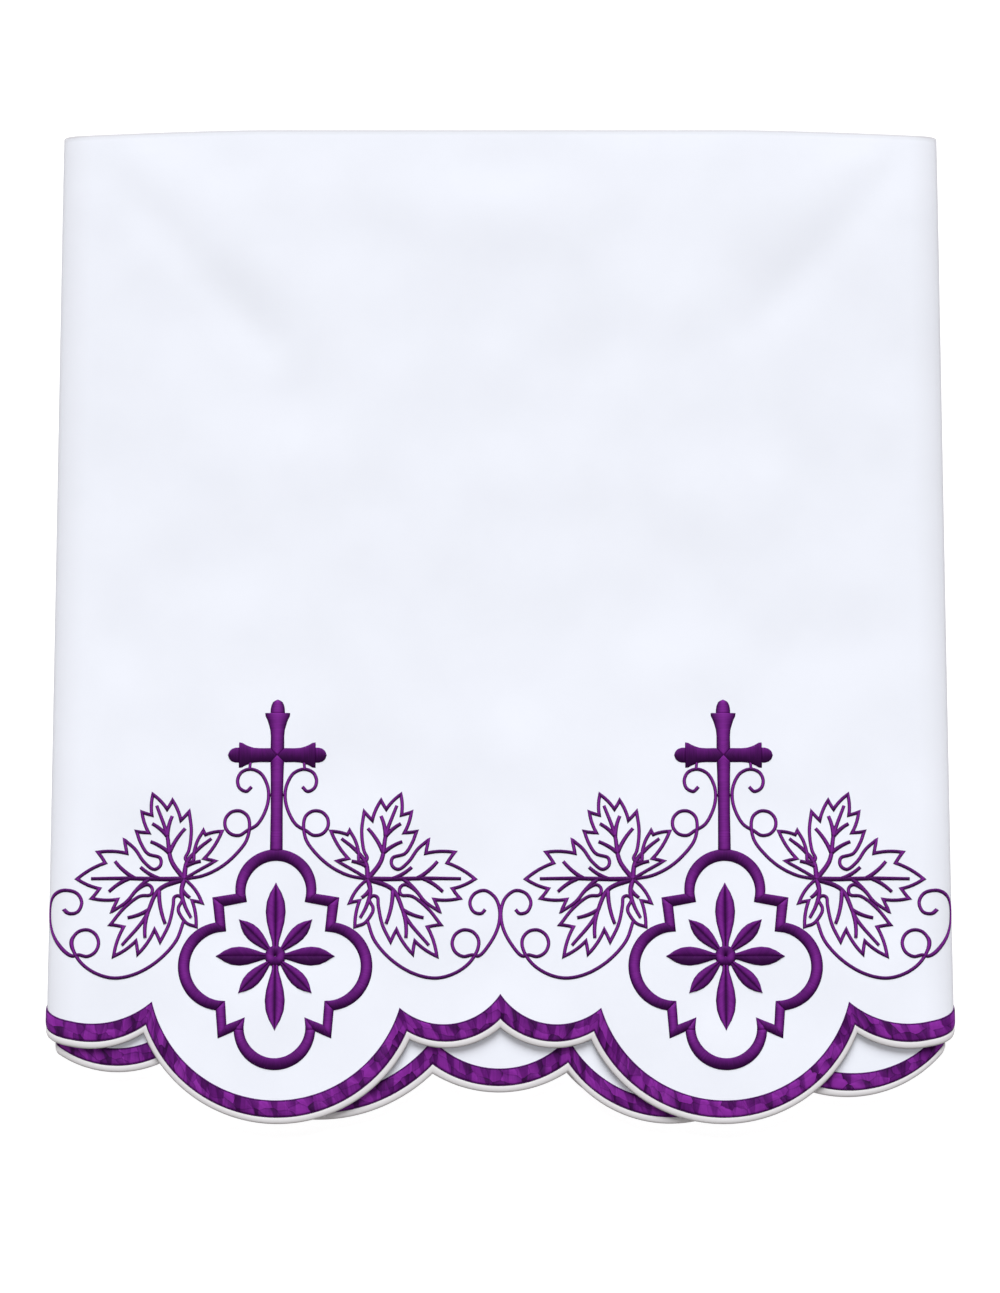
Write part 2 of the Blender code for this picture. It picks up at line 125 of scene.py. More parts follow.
# Slack of the face: wavelength, direction in degrees, phase, height.
RIPPLES = (
    (131.0, 62.0, 0.4, 0.22),
    (97.0, 118.0, 2.1, 0.16),
    (73.0, 84.0, 4.0, 0.10),
    (58.0, 35.0, 1.2, 0.06),
    (49.0, 146.0, 5.3, 0.05),
)

# Mesh: steps per scallop of a border and of the sheet's own edge, steps of a curve, widest columns of the
# sheet on its face, round its side rolls and behind, and the heights where its rows change.
HEM_STEPS = 84
SHEET_HEM_STEPS = 60
CURVE_STEP = 1.2
COLUMN_STEPS = (4.3, 3.2, 11.0)
LEAST_COLUMN = 0.8
HEM_ROWS_TOP = -236.0
FACE_ROWS_CHANGE = -56.0
BACK_ROWS_LOW = -290.0
# Painted shade of the sheet's side rolls: depth, and the distances beside the face where each starts and is
# full. Then the painted shade of the top roll: its depth, where it starts and is full past the top line, and
# where it fades again, from this far past that line to this far past the roll.
SIDE_SHADES = ((0.31, -6.0, 21.0), (0.25, 14.0, 22.0))
TOP_SHADE = 0.9
TOP_SHADE_IN = (-0.6, 1.0)
TOP_SHADE_OUT = (4.0, 3.0)
# Border: heights of its rims and of its under side above the cloth's middle, and half its stitched width.
BORDER_RIM = 0.42
BORDER_FOOT = 0.35
BORDER_HALF = 6.6
# Edging: how far it laps over the border in shares of the hem's reach, its painted light: its own level, the
# painted shade on its outer side and the painted light on its top, and the stitched width of one degree
# round it.
EDGING_LAP = 0.012
EDGING_PAINTED_LIGHT = (0.72, 0.75, 0.1)
EDGING_DEGREE = 0.04

# Embroidery: places of the motifs, and half the width of outline stitching and of veins.
MOTIF_X = 178.2
CROSS_Y = -112.6
MEDALLION_Y = -279.2
LINE_HALF = 1.52
VEIN_HALF = 2.05
# Points across a stroke, from -1 to 1, in satin and in outline stitching, and the depth of its foot.
ACROSS = np.sin(np.radians(np.linspace(-90, 90, 11)))
ACROSS_THIN = np.sin(np.radians(np.linspace(-90, 90, 5)))
STROKE_FOOT = -0.15
# Painted light of satin: its own level, the painted highlight that its middle gains where it runs upright,
# and the painted light that its upper half gains where it runs level, with painted shade on its lower half.
SATIN_PAINTED_LIGHT = (0.1, 0.64, 0.34)
# How much of its height a run loses where it meets the next one.
END_DIP = 0.3
# The arms of the cross start from a point over this distance, so that they meet in mitres.
CROSS_MITRE = 14.0

# Arms of the cross: distance from its middle, half width. The bulb beyond the collar is its own stitching.
HEAD_ARM = ((0.0, 5.6), (15.0, 5.5), (20.0, 5.9), (24.0, 7.0), (28.0, 8.3), (31.3, 10.0), (33.8, 10.2))
HEAD_BULB = ((33.6, 5.9), (37.0, 5.8), (40.0, 5.2), (42.6, 3.9), (44.1, 1.9), (44.6, 0.3))
SIDE_ARM = ((0.0, 5.8), (14.0, 5.7), (19.0, 6.1), (23.0, 7.4), (26.0, 8.8), (28.2, 10.2), (30.6, 10.4))
SIDE_BULB = ((30.4, 6.2), (33.5, 6.1), (36.2, 5.2), (38.2, 3.4), (39.1, 1.6), (39.4, 0.3))
FOOT_ARM = ((0.0, 5.6), (20.0, 5.2), (45.0, 4.9), (76.0, 5.2))

# Right half of the four-lobed frame from its top: arcs, and corners with the half width that the stitching
# has there.
FRAME_HALF = (
    ("arc", 0.0, 58.8, 28.1, 90.0, -12.0),
    ("corner", 45.7, 49.8, 4.4),
    ("arc", 41.3, -0.9, 31.0, 86.0, -87.0),
    ("corner", 41.4, -52.0, 3.9),
    ("corner", 27.6, -46.2, 3.4),
    ("arc", 0.0, -49.2, 28.3, -3.0, -90.0),
)
ARC_HALF = 4.75
ARC_END_HALF = 4.1

# Rosette in each frame: its place above the frame's middle, the radius of its hub, and the length and half
# width of its petals in turn, from the top one clockwise. Then the side of a petal: along it, half width.
ROSETTE_UP = 7.0
ROSETTE_HUB = 8.5
PETALS = ((58.0, 8.2), (41.0, 6.2), (47.0, 7.8), (41.0, 6.2)) * 2
PETAL_SIDE = ((0.08, 0.30), (0.2, 0.36), (0.32, 0.62), (0.46, 0.88), (0.6, 1.0), (0.74, 0.9), (0.86, 0.58),
              (0.95, 0.2), (1.0, 0.03))

# Vine leaf, measured outwards from the motif's middle and up: where its stem meets it, then its lobes in
# turn: direction in degrees, length, teeth before its tip, teeth after it, and how far its vein bows aside
# near the base and half way.
LEAF_BASE = (73.0, -211.3)
LEAF_LOBES = (
    (-105.0, 39.0, "hooked", "plain", 4.5, 4.5),
    (-48.0, 82.0, "narrow", "single", 9.0, 2.0),
    (0.0, 85.0, "double", "broad", 0.0, 0.5),
    (69.0, 72.0, "double", "double", -4.5, -0.5),
    (128.0, 48.0, "nick", "hooked", -6.5, -6.0),
)
# Teeth of one side of a lobe, in shares of its length: along and aside, then the notch that follows.
TEETH = {
    "plain": (),
    "nick": ((0.82, 0.25, 0.79, 0.18),),
    "single": ((0.80, 0.23, 0.73, 0.12),),
    "hooked": ((0.56, 0.23, 0.47, 0.05),),
    "double": ((0.68, 0.31, 0.62, 0.19), (0.86, 0.18, 0.79, 0.09)),
    "broad": ((0.57, 0.37, 0.54, 0.24), (0.81, 0.25, 0.74, 0.15)),
    "narrow": ((0.60, 0.24, 0.55, 0.12), (0.83, 0.16, 0.75, 0.06)),
}
# Middle vein of a lobe, in shares of the lobe's length: where it bends, and where it ends on short and on
# long lobes. Lobes are long above LONG_LOBE.
VEIN_BENDS = (0.24, 0.54)
VEIN_ENDS = (0.8, 0.87)
LONG_LOBE = 55.0
# Round pocket between each two lobes: direction in degrees, distance from the base, radius.
LEAF_POCKETS = ((-74.0, 17.5, 3.6), (-17.0, 31.0, 4.6), (29.0, 27.5, 5.6), (104.0, 17.5, 3.6))

# Lengths of one wave of the threads, in millimetres.
WARP_PITCH = 0.42
WEFT_PITCH = 0.46
EDGING_PITCH = 0.55
SATIN_PITCH = 0.42
BORDER_PITCH = 0.45
TWIST_PITCH = 1.3
# Border stitching: length, width and unevenness of its facets, length of a patch, and where a rim begins.
FACET_LENGTH = 11.2
FACET_WIDTH = 8.8
FACET_UNEVENNESS = 0.7
PATCH_LENGTH = 14.6
RIM_FROM = 5.5
PURPLE_GLOSS = 0.08
COTTON_GLOSS = 0.3

# Stage, in metres and degrees. Lights: name, type, place, spread, power.
GROUND_WIDTH = 12.0
GROUND_Z = -0.0005
GROUND_GLOW = 0.84
WORLD_COLOUR = (1.0, 0.9, 0.88, 1.0)
WORLD_STRENGTH = 0.2
LIGHTS = (
    ("top_light", "SUN", (-0.06, 2.3, 1.8), math.radians(42), 3.33),
    ("front_softbox", "AREA", (0.0, -0.4, 3.4), 1.8, 25.4),
)
LIGHT_COLOUR = (0.97, 0.985, 1.0)
CAMERA_PLACE = (-0.0003, -0.2796, 2.1992)
CAMERA_TILT = 6.64
CAMERA_LENS = 76.318
SENSOR_WIDTH = 36.0
CAMERA_REACH = 20.0


def smooth_step(value, low, high):
    """A soft step from 0 at low to 1 at high."""
    share = np.clip((value - low) / (high - low), 0.0, 1.0)
    return share * share * (3 - 2 * share)


def segment_distance(x, y, x0, y0, x1, y1):
    """Distance of points from a segment."""
    along = ((x - x0) * (x1 - x0) + (y - y0) * (y1 - y0)) / ((x1 - x0) ** 2 + (y1 - y0) ** 2)
    along = np.clip(along, 0.0, 1.0)
    return np.hypot(x - x0 - along * (x1 - x0), y - y0 - along * (y1 - y0))


def face_relief(x, y):
    """Height of the drag folds and of the slack above the flat face."""
    beside = smooth_step(-np.abs(x), *RELIEF_FADE_SIDE)
    below = smooth_step(TOP_Y - y, *RELIEF_FADE_TOP)
    folds = 0.0
    for x0, y0, x1, y1, half_width, rise in FACE_FOLDS:
        folds = folds + rise * np.exp(-((segment_distance(x, y, x0, y0, x1, y1) / half_width) ** 2))
    slack = 0.0
    for wavelength, direction, phase, height in RIPPLES:
        turn = math.radians(direction)
        along = x * math.cos(turn) + y * math.sin(turn)
        slack = slack + height * np.sin(2 * math.pi * along / wavelength + phase)
    return beside * below * (folds * smooth_step(y - LIFT_FROM, *RELIEF_FADE_LOW) + slack)


def lift(y):
    """The front ply's rise towards its hem."""
    return LIFT * np.maximum(0.0, LIFT_FROM - y) / (LIFT_FROM + TOP_Y)


def level(ply_number, x, y):
    """Height of a ply's middle: 0 is the outer return, which lies lowest, and 3 is the face."""
    pitch = PITCH + (PITCH_AT_TOP - PITCH) * smooth_step(y, *PITCH_CHANGES)
    height = PLY / 2 + ply_number * pitch
    if ply_number == 3:
        near_top = np.maximum(0.0, y - TOP_ROUNDING_FROM) / (TOP_Y - TOP_ROUNDING_FROM)
        return height + lift(y) + face_relief(x, y) - TOP_ROUNDING * near_top ** 2
    rise = HEM_RISE + HEM_SPREAD * ply_number
    return height + rise * (1 - smooth_step(y, HEM_RISE_TO, HEM_RISE_FROM))


class SidePath:
    """The way a cloth edge runs across the pack: over the front, round both side rolls and back behind."""

    def __init__(self, half_front, roll_width, roll_height, top_ply, low_ply):
        self.half_front = half_front
        self.roll_width = roll_width
        self.top_ply = top_ply
        self.low_ply = low_ply
        a, b = roll_width, roll_height / 2
        self.roll_length = math.pi / 2 * (3 * (a + b) - math.sqrt((3 * a + b) * (a + 3 * b)))
        self.end = half_front + self.roll_length + half_front - RETURN_END_X
        self.stops = (0.0, half_front, half_front + self.roll_length, self.end)

    def point(self, u, y):
        """Position of the ply's middle at distance u along the path, at height y of the front."""
        side = np.where(u >= 0, 1.0, -1.0)
        past = np.abs(u) - self.half_front
        turn = np.clip(past / self.roll_length, 0.0, 1.0) * math.pi
        x = self.half_front + self.roll_width * np.sin(turn)
        x = np.where(past < 0, np.abs(u), x)
        x = np.where(past > self.roll_length, self.half_front - (past - self.roll_length), x)
        y = y + RETURN_RISE * smooth_step(turn, 0, math.pi) * (TOP_Y - y) / (2 * TOP_Y)
        upper = level(self.top_ply, side * x, y)
        lower = level(self.low_ply, side * x, y)
        z = (upper + lower) / 2 + (upper - lower) / 2 * np.cos(turn)
        return side * x, y, z


OUTER_PATH = SidePath(PACK_WIDTH / 2 - SIDE_ROLL_WIDTH, SIDE_ROLL_WIDTH - PLY / 2, OUTER_ROLL_HEIGHT, 3, 0)
INNER_PATH = SidePath(INNER_ROLL_EDGE - INNER_ROLL_HEIGHT / 2, INNER_ROLL_HEIGHT / 2, INNER_ROLL_HEIGHT,
                      2, 1)
CLOTH_END = OUTER_PATH.end
TOP_LINE = TOP_Y - PLY / 2 - TOP_ROLL
ROLL_LENGTH = math.pi * TOP_ROLL


def convert(value, path, other):
    """Moves a distance along one path to the like place on the other path."""
    return np.where(value >= 0, 1.0, -1.0) * np.interp(np.abs(value), path.stops, other.stops)


def hem_top_v(y):
    """The flat height of a point of the back hem, measured over the top roll."""
    return TOP_LINE + ROLL_LENGTH + TOP_LINE - y


def cloth_point(u, v):
    """Maps the flat cloth to the folded one. v is the height on the front and goes on over the top roll."""
    u, v = np.broadcast_arrays(np.asarray(u, float), np.asarray(v, float))
    over = v - TOP_LINE
    turn = np.clip(over / TOP_ROLL, 0.0, math.pi)
    share = (1 - np.cos(turn)) / 2
    outer = OUTER_PATH.point(u, np.minimum(v, TOP_LINE))
    behind = TOP_LINE - np.maximum(0.0, over - ROLL_LENGTH)
    inner = INNER_PATH.point(convert(u, OUTER_PATH, INNER_PATH), behind)
    x = outer[0] + share * (inner[0] - outer[0])
    z = outer[2] + share * (inner[2] - outer[2])
    on_roll = np.where(over >= ROLL_LENGTH, inner[1], TOP_LINE + TOP_ROLL * np.sin(turn))
    y = np.where(over <= 0, outer[1], on_roll)
    beyond = np.maximum(0.0, (np.abs(x) - CORNER_DROP_FROM) / (CORNER_DROP_AT - CORNER_DROP_FROM))
    y = y - CORNER_DROP * beyond ** CORNER_DROP_POWER * smooth_step(y, *CORNER_DROP_HEIGHTS)
    return np.stack((x, y, z), axis=-1)


def cloth_normal(u, v):
    """The outward side of the folded cloth."""
    step = 0.2
    along = cloth_point(u + step, v) - cloth_point(u - step, v)
    up = cloth_point(u, v + step) - cloth_point(u, v - step)
    across = np.cross(along, up)
    return across / np.linalg.norm(across, axis=-1, keepdims=True)


def over_cloth(u, v, height, side=1):
    """A point at a height above the cloth's own middle, on its outward side or on the other one."""
    u, v, height = np.broadcast_arrays(*(np.asarray(value, float) for value in (u, v, height)))
    return cloth_point(u, v) + side * height[..., None] * cloth_normal(u, v)


def scallop(left, right, lowest):
    """A circle through two notches that reaches down to a given y: its centre x, centre y and radius."""
    (x1, y1), (x2, y2) = left, right
    h1, h2 = y1 - lowest, y2 - lowest
    centre = x1 + abs(x2 - x1) * math.sqrt(h1) / (math.sqrt(h1) + math.sqrt(h2))
    for _ in range(40):
        radius = ((x1 - centre) ** 2 + h1 * h1) / (2 * h1)
        half = math.sqrt(max(1.0, 2 * radius * h2 - h2 * h2))
        centre += 0.5 * ((x2 - half) - centre)
    radius = ((x1 - centre) ** 2 + h1 * h1) / (2 * h1)
    return centre, lowest + radius, radius


def hem_line(notches, lows, shares):
    """Points of one scalloped line, scallop by scallop, at the given shares across each of them."""
    points = []
    for (left, right), low in zip(zip(notches, notches[1:]), lows):
        centre, middle, radius = scallop(left, right, low)
        x = left[0] + shares * (right[0] - left[0])
        y = middle - np.sqrt(np.maximum(0.0, radius * radius - (x - centre) ** 2))
        y[0] = left[1]
        points.append(np.stack((x, y), axis=-1))
    points.append(np.array([notches[-1]]))
    return np.concatenate(points)


class Hem:
    """One scalloped hem of the flat cloth: its outer line and the border's inner line, point by point."""

    def __init__(self, on_back, steps):
        self.on_back = on_back
        self.side = -1 if on_back else 1
        even = np.arange(steps) / steps
        shares = 0.5 * even + 0.25 * (1 - np.cos(math.pi * even))
        if on_back:
            rows = [(x, y, x, y + BACK_PEAK_UP, low, low and low + BACK_BAND_UP) for x, y, low in BACK_HEM]
        else:
            pairs = list(zip(FRONT_HEM, FRONT_HEM[1:]))[::-1]
            rows = [(-row[0], row[1], -row[2], row[3], *before[4:]) for before, row in pairs] + [*FRONT_HEM]
        self.outer = hem_line([row[:2] for row in rows], [row[4] for row in rows[:-1]], shares)
        self.inner = hem_line([row[2:4] for row in rows], [row[5] for row in rows[:-1]], shares)
        if on_back:
            for line in (self.outer, self.inner):
                line[:, 0] = convert(line[:, 0], INNER_PATH, OUTER_PATH)
        self.notches = np.arange(0, len(self.outer), steps)

    def at(self, reach):
        """Flat points between the outer line, at reach 0, and the border's inner line, at reach 1."""
        line = self.outer + reach * (self.inner - self.outer)
        u = np.clip(line[:, 0], -CLOTH_END, CLOTH_END)
        return u, hem_top_v(line[:, 1]) if self.on_back else line[:, 1]


def travelled(points):
    """Distance along a line of points."""
    steps = np.linalg.norm(np.diff(points, axis=0), axis=1)
    return np.concatenate(([0.0], np.cumsum(steps)))


def volume(points, faces):
    """Six times the volume inside a closed shell, below zero where its faces point inwards."""
    corners = np.array([(face[0], face[k], face[k + 1]) for face in faces for k in range(1, len(face) - 1)])
    a, b, c = ((points - points[0])[corners[:, k]] for k in range(3))
    return float((a * np.cross(b, c)).sum())


class Shape:
    """Points, faces, stitch coordinates and painted light of one piece, gathered run by run."""

    def __init__(self):
        self.points, self.faces, self.stitches, self.painted_lights = [], [], [], []
        self.count = 0

    def add(self, points, faces, stitches, painted_lights):
        self.faces += [[corner + self.count for corner in face] for face in faces]
        self.points.append(points.reshape(-1, 3))
        self.stitches.append(stitches.reshape(-1, 2))
        self.painted_lights.append(np.broadcast_to(painted_lights, points.shape[:-1]).reshape(-1))
        self.count += len(self.points[-1])

    def add_rings(self, rings, stitches, painted_lights, looped=False):
        """A tube from rings of points, with flat ends unless it closes on itself."""
        count, wide = rings.shape[:2]
        i, j = np.meshgrid(np.arange(count if looped else count - 1), np.arange(wide), indexing="ij")
        after, beside = (i + 1) % count, (j + 1) % wide
        corners = i * wide + j, i * wide + beside, after * wide + beside, after * wide + j
        faces = np.stack(corners, axis=-1).reshape(-1, 4).tolist()
        if not looped:
            faces.append(list(range(wide))[::-1])
            faces.append(list(range((count - 1) * wide, count * wide)))
        if volume(rings.reshape(-1, 3), faces) < 0:
            faces = [face[::-1] for face in faces]
        self.add(rings, faces, stitches, painted_lights)

    def make(self, name, finish):
        """The piece as an object that rides on the cloth."""
        points = np.concatenate(self.points) * MM
        mesh = bpy.data.meshes.new(name)
        mesh.from_pydata(points.tolist(), [], self.faces)
        corners = np.empty(len(mesh.loops), np.int32)
        mesh.loops.foreach_get("vertex_index", corners)
        stitches = (np.concatenate(self.stitches) * MM)[corners].astype(np.float32)
        mesh.uv_layers.new(name="stitches").data.foreach_set("uv", stitches.ravel())
        # Painted light and shade, point by point, which the finishes blend into colour.
        tone = mesh.attributes.new("tone", "FLOAT", "POINT")
        tone.data.foreach_set("value", np.concatenate(self.painted_lights).astype(np.float32))
        mesh.polygons.foreach_set("use_smooth", np.ones(len(mesh.polygons), bool))
        mesh.materials.append(finish)
        made = bpy.data.objects.new(name, mesh)
        bpy.context.scene.collection.objects.link(made)
        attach(made, "root")
        return made


def maths(operation, turned=False):
    """An operator of a shader term by its Math node. A reflected one has its two values turned round."""

    def operate(term, *others):
        values = (*others, term) if turned else (term, *others)
        return term.finish.node("ShaderNodeMath", {"operation": operation}, dict(enumerate(values)))[0]

    return operate


class Term:
    """A shader socket that takes part in arithmetic."""

    def __init__(self, finish, socket):
        self.finish = finish
        self.socket = socket

    __add__, __radd__ = maths("ADD"), maths("ADD", True)
    __sub__, __rsub__ = maths("SUBTRACT"), maths("SUBTRACT", True)
    __mul__, __rmul__ = maths("MULTIPLY"), maths("MULTIPLY", True)
    __truediv__, __rtruediv__ = maths("DIVIDE"), maths("DIVIDE", True)
    __abs__, sine, fraction = maths("ABSOLUTE"), maths("SINE"), maths("FRACT")

    def waves(self, pitch):
        """A wave over a distance, from -1 to 1, once in every pitch."""
        return (self * (2 * math.pi / pitch)).sine()

    def ribs(self, pitch):
        """The same wave from 0 to 1."""
        return self.waves(pitch) * 0.5 + 0.5

    def step(self, low, high):
        """A soft step from 0 at low to 1 at high."""
        settings = {"interpolation_type": "SMOOTHSTEP"}
        inputs = {"Value": self, "From Min": low, "From Max": high}
        return self.finish.node("ShaderNodeMapRange", settings, inputs)["Result"]


class Finish:
    """A material made from nodes."""

    def __init__(self, name):
        self.material = bpy.data.materials.new(name)
        self.material.use_nodes = True
        self.tree = self.material.node_tree
        self.shader = self.tree.nodes["Principled BSDF"]

    def node(self, kind, settings, inputs):
        """Adds a node: its type, its settings, then values or links of its sockets. Gives its outputs."""
        made = self.tree.nodes.new(kind)
        for name, value in settings.items():
            setattr(made, name, value)
        for name, value in inputs.items():
            self.join(made.inputs[name], value)
        outputs = [Term(self, socket) for socket in made.outputs]
        return {key: term for i, term in enumerate(outputs) for key in (i, term.socket.name)}

    def join(self, socket, value):
        if isinstance(value, Term):
            self.tree.links.new(value.socket, socket)
        elif isinstance(value, (tuple, list)) and socket.type == "RGBA":
            socket.default_value = (*value[:3], 1.0)
        else:
            socket.default_value = value

    def blend(self, factor, first, second):
        """A colour between two others."""
        return self.node("ShaderNodeMix", {"data_type": "RGBA"}, {0: factor, 6: first, 7: second})[2]

    def three_tones(self, light, colours, dark_to, bright_to):
        """A colour by the light that a stitch takes: from dark to middle, then from middle to bright."""
        dark, middle, bright = colours
        return self.blend(light.step(*bright_to), self.blend(light.step(*dark_to), dark, middle), bright)

    def stitch_axes(self):
        """Distances along and across the piece's own surface, in millimetres."""
        uv = self.node("ShaderNodeUVMap", {"uv_map": "stitches"}, {})["UV"]
        parts = self.node("ShaderNodeSeparateXYZ", {}, {"Vector": uv})
        return parts["X"] * 1000, parts["Y"] * 1000, uv

    # The piece's painted light and shade, point by point.
    def tone(self):
        return self.node("ShaderNodeAttribute", {"attribute_name": "tone"}, {})["Fac"]

    def object_noise(self, scale, detail):
        place = self.node("ShaderNodeTexCoord", {}, {})["Object"]
        return self.node("ShaderNodeTexNoise", {}, {"Vector": place, "Scale": scale, "Detail": detail})[0]

    def surface_noise(self, uv, scale, stretch=(1.0, 1.0), detail=2.0):
        settings = {"operation": "MULTIPLY"}
        place = self.node("ShaderNodeVectorMath", settings, {0: uv, 1: (stretch[0], stretch[1], 1.0)})[0]
        return self.node("ShaderNodeTexNoise", {}, {"Vector": place, "Scale": scale, "Detail": detail})[0]

    def bump(self, height, distance, strength):
        inputs = {"Height": height, "Distance": distance, "Strength": strength}
        self.join(self.shader.inputs["Normal"], self.node("ShaderNodeBump", {}, inputs)["Normal"])

    def set(self, **values):
        for name, value in values.items():
            self.join(self.shader.inputs[name.replace("_", " ")], value)


def linen_finish(colour):
    """White cotton: fine plain weave with a few thicker threads, and painted shade on its side rolls and top
    roll.
    """
    finish = Finish("white_cotton")
    u, v, uv = finish.stitch_axes()
    weave = u.waves(WARP_PITCH) * v.waves(WEFT_PITCH)
    thick = finish.surface_noise(uv, 420.0, (1.0, 0.06)) + finish.surface_noise(uv, 420.0, (0.06, 1.0))
    cloud = finish.object_noise(11.0, 3.0)
    faint = tuple(c * 0.965 for c in colour)
    # Colour of the painted shade on the side rolls and the top roll, used where the painted light is low.
    painted_shade_colour = tuple(c * shade for c, shade in zip(colour, (0.6, 0.57, 0.55)))
    clear = finish.blend(cloud.step(0.25, 0.75), faint, colour)
    finish.set(Base_Color=finish.blend(finish.tone(), painted_shade_colour, clear), Roughness=0.62 + thick * 0.12,
               Sheen_Weight=0.12, Sheen_Roughness=0.5, Specular_IOR_Level=COTTON_GLOSS)
    finish.bump(weave * 0.5 + thick * 0.7, 0.00006, 0.55)
    return finish.material


def cord_finish(colour, shade):
    """White close satin stitch over the raw edge, with painted shade on its under side and painted light on
    its top.
    """
    finish = Finish("white_edging_stitch")
    along, across, uv = finish.stitch_axes()
    thread = (along + across * 0.15).ribs(EDGING_PITCH)
    uneven = finish.surface_noise(uv, 260.0, (1.0, 0.15))
    light = finish.tone() + thread * 0.12 + uneven * 0.3
    finish.set(Base_Color=finish.blend(light.step(0.15, 0.85), shade, colour), Roughness=0.6)
    finish.bump(thread + uneven * 0.6, 0.0001, 0.4)
    return finish.material


def satin_finish(*colours):
    """Close satin stitch whose threads run across the stroke."""
    finish = Finish("purple_satin_stitch_fine")
    along, _, uv = finish.stitch_axes()
    thread = along.ribs(SATIN_PITCH)
    strand = finish.surface_noise(uv, 900.0, (1.0, 0.05), 1.0)
    drift = finish.surface_noise(uv, 90.0, (1.0, 0.3))
    # Painted light of the stroke, with the strands' own uneven tone.
    light = finish.tone() + (strand - 0.5) * 0.42 + (drift - 0.5) * 0.3 + (thread - 0.5) * 0.12
    finish.set(Base_Color=finish.three_tones(light, colours, (-0.1, 0.5), (0.35, 1.05)),
               Roughness=0.5 + strand * 0.14, Specular_IOR_Level=PURPLE_GLOSS)
    finish.bump(thread * 0.7 + strand, 0.00013, 0.6)
    return finish.material


def border_finish(*colours):
    """Border stitching: facets with their own thread direction in overlapping patches, between two rims,
    with painted sheen and painted shade in its colour.
    """
    finish = Finish("purple_border_stitch")
    along, across, uv = finish.stitch_axes()
    wander = (finish.surface_noise(uv, 110.0) - 0.5) * 0.5
    facet_x = along / FACET_LENGTH + across * 0.05 + wander
    facet_y = (across + 7.4) / FACET_WIDTH + wander
    place = finish.node("ShaderNodeCombineXYZ", {}, {"X": facet_x, "Y": facet_y, "Z": 0.0})[0]
    facet, seams = (
        finish.node("ShaderNodeTexVoronoi", {"voronoi_dimensions": "2D", "feature": feature},
                    {"Vector": place, "Scale": 1.0, "Randomness": FACET_UNEVENNESS})
        for feature in ("F1", "DISTANCE_TO_EDGE"))
    picks = finish.node("ShaderNodeSeparateColor", {}, {"Color": facet["Color"]})
    centre = finish.node("ShaderNodeSeparateXYZ", {}, {"Vector": facet["Position"]})
    aside = (facet_x - centre["X"]) * 2.0
    above = (facet_y - centre["Y"]) * 2.0
    turn = picks["Red"] * 2.0 - 1.0
    patch = along / PATCH_LENGTH + across * 0.012 + wander * 0.25
    patch_middle = 1 - (abs(patch.fraction() - 0.5) + across * 0.016).step(0.27, 0.36)
    seam_shade = 1 - seams["Distance"].step(0.0, 0.07)
    rim = abs(across).step(RIM_FROM, RIM_FROM + 0.4)
    groove = 1 - abs(abs(across) - RIM_FROM).step(0.1, 0.55)
    thread = (along * 0.9 + across * turn * 1.1).waves(BORDER_PITCH)
    # Colour of the border: each facet's own random tone and each patch lighter in its middle; a painted
    # sheen to one side of a facet by its thread direction; painted shade towards the upper side of each
    # facet, in the seams between facets and in the groove before each rim.
    light = 0.19 + patch_middle * 0.28 + picks["Green"] * 0.48 + aside * turn * 0.3 - above * 0.1
    light = light * (1 - rim) + rim * 0.3 - seam_shade * 0.16 - groove * 0.3
    light = light + (finish.surface_noise(uv, 700.0, (1.0, 0.08), 1.0) - 0.5) * 0.3 + thread * 0.05
    finish.set(Base_Color=finish.three_tones(light, colours, (-0.05, 0.5), (0.35, 0.95)),
               Roughness=0.52, Specular_IOR_Level=PURPLE_GLOSS)
    swell = seams["Distance"].step(0.0, 0.3) * 1.6 + aside * turn * 0.9 - groove * 1.4
    finish.bump(swell + thread * 0.2, 0.0003, 0.6)
    return finish.material


def line_finish(dark, middle):
    """Narrow outline stitching, two threads laid side by side with a slight twist."""
    finish = Finish("purple_line_stitch")
    along, across, uv = finish.stitch_axes()
    twist = (along + across * 1.3).ribs(TWIST_PITCH)
    strand = finish.surface_noise(uv, 800.0, (1.0, 0.3), 1.0)
    # Painted light of the stroke, as on satin, with the twist's and strands' own tone.
    light = finish.tone() + twist * 0.2 + strand * 0.35 - 0.12
    finish.set(Base_Color=finish.blend(light.step(0.1, 1.1), dark, middle), Roughness=0.55,
               Specular_IOR_Level=PURPLE_GLOSS)
    finish.bump(twist + strand * 0.5, 0.00016, 0.5)
    return finish.material


def floor_finish(colour):
    """Smooth pale ground under the cloth."""
    finish = Finish("pale_ground")
    finish.set(Base_Color=colour, Roughness=0.9, Specular_IOR_Level=0.0,
               Emission_Color=(1.0, 1.0, 1.0), Emission_Strength=GROUND_GLOW)
    return finish.material


def between(first, last, t, low, high):
    """The point at t between one that stands at low and one that stands at high."""
    return (high - t) / (high - low) * first + (t - low) / (high - low) * last


def smooth_curve(points):
    """An even line through the given points, rounded between them."""
    points = np.asarray(points, float)
    points = np.concatenate((2 * points[:1] - points[1:2], points, 2 * points[-1:] - points[-2:-1]))
    made = []
    for p0, p1, p2, p3 in zip(points, points[1:], points[2:], points[3:]):
        spans = [max(1e-6, math.sqrt(np.linalg.norm(span))) for span in (p1 - p0, p2 - p1, p3 - p2)]
        t1, t2, t3 = np.cumsum(spans)
        count = max(2, round(float(np.linalg.norm(p2 - p1)) / CURVE_STEP * 1.1))
        t = np.linspace(t1, t2, count, endpoint=False)[:, None]
        a1, a2, a3 = between(p0, p1, t, 0, t1), between(p1, p2, t, t1, t2), between(p2, p3, t, t2, t3)
        b1, b2 = between(a1, a2, t, 0, t2), between(a2, a3, t, t1, t3)
        made.append(between(b1, b2, t, t1, t2))
    return np.concatenate(made + [points[-2:-1]])


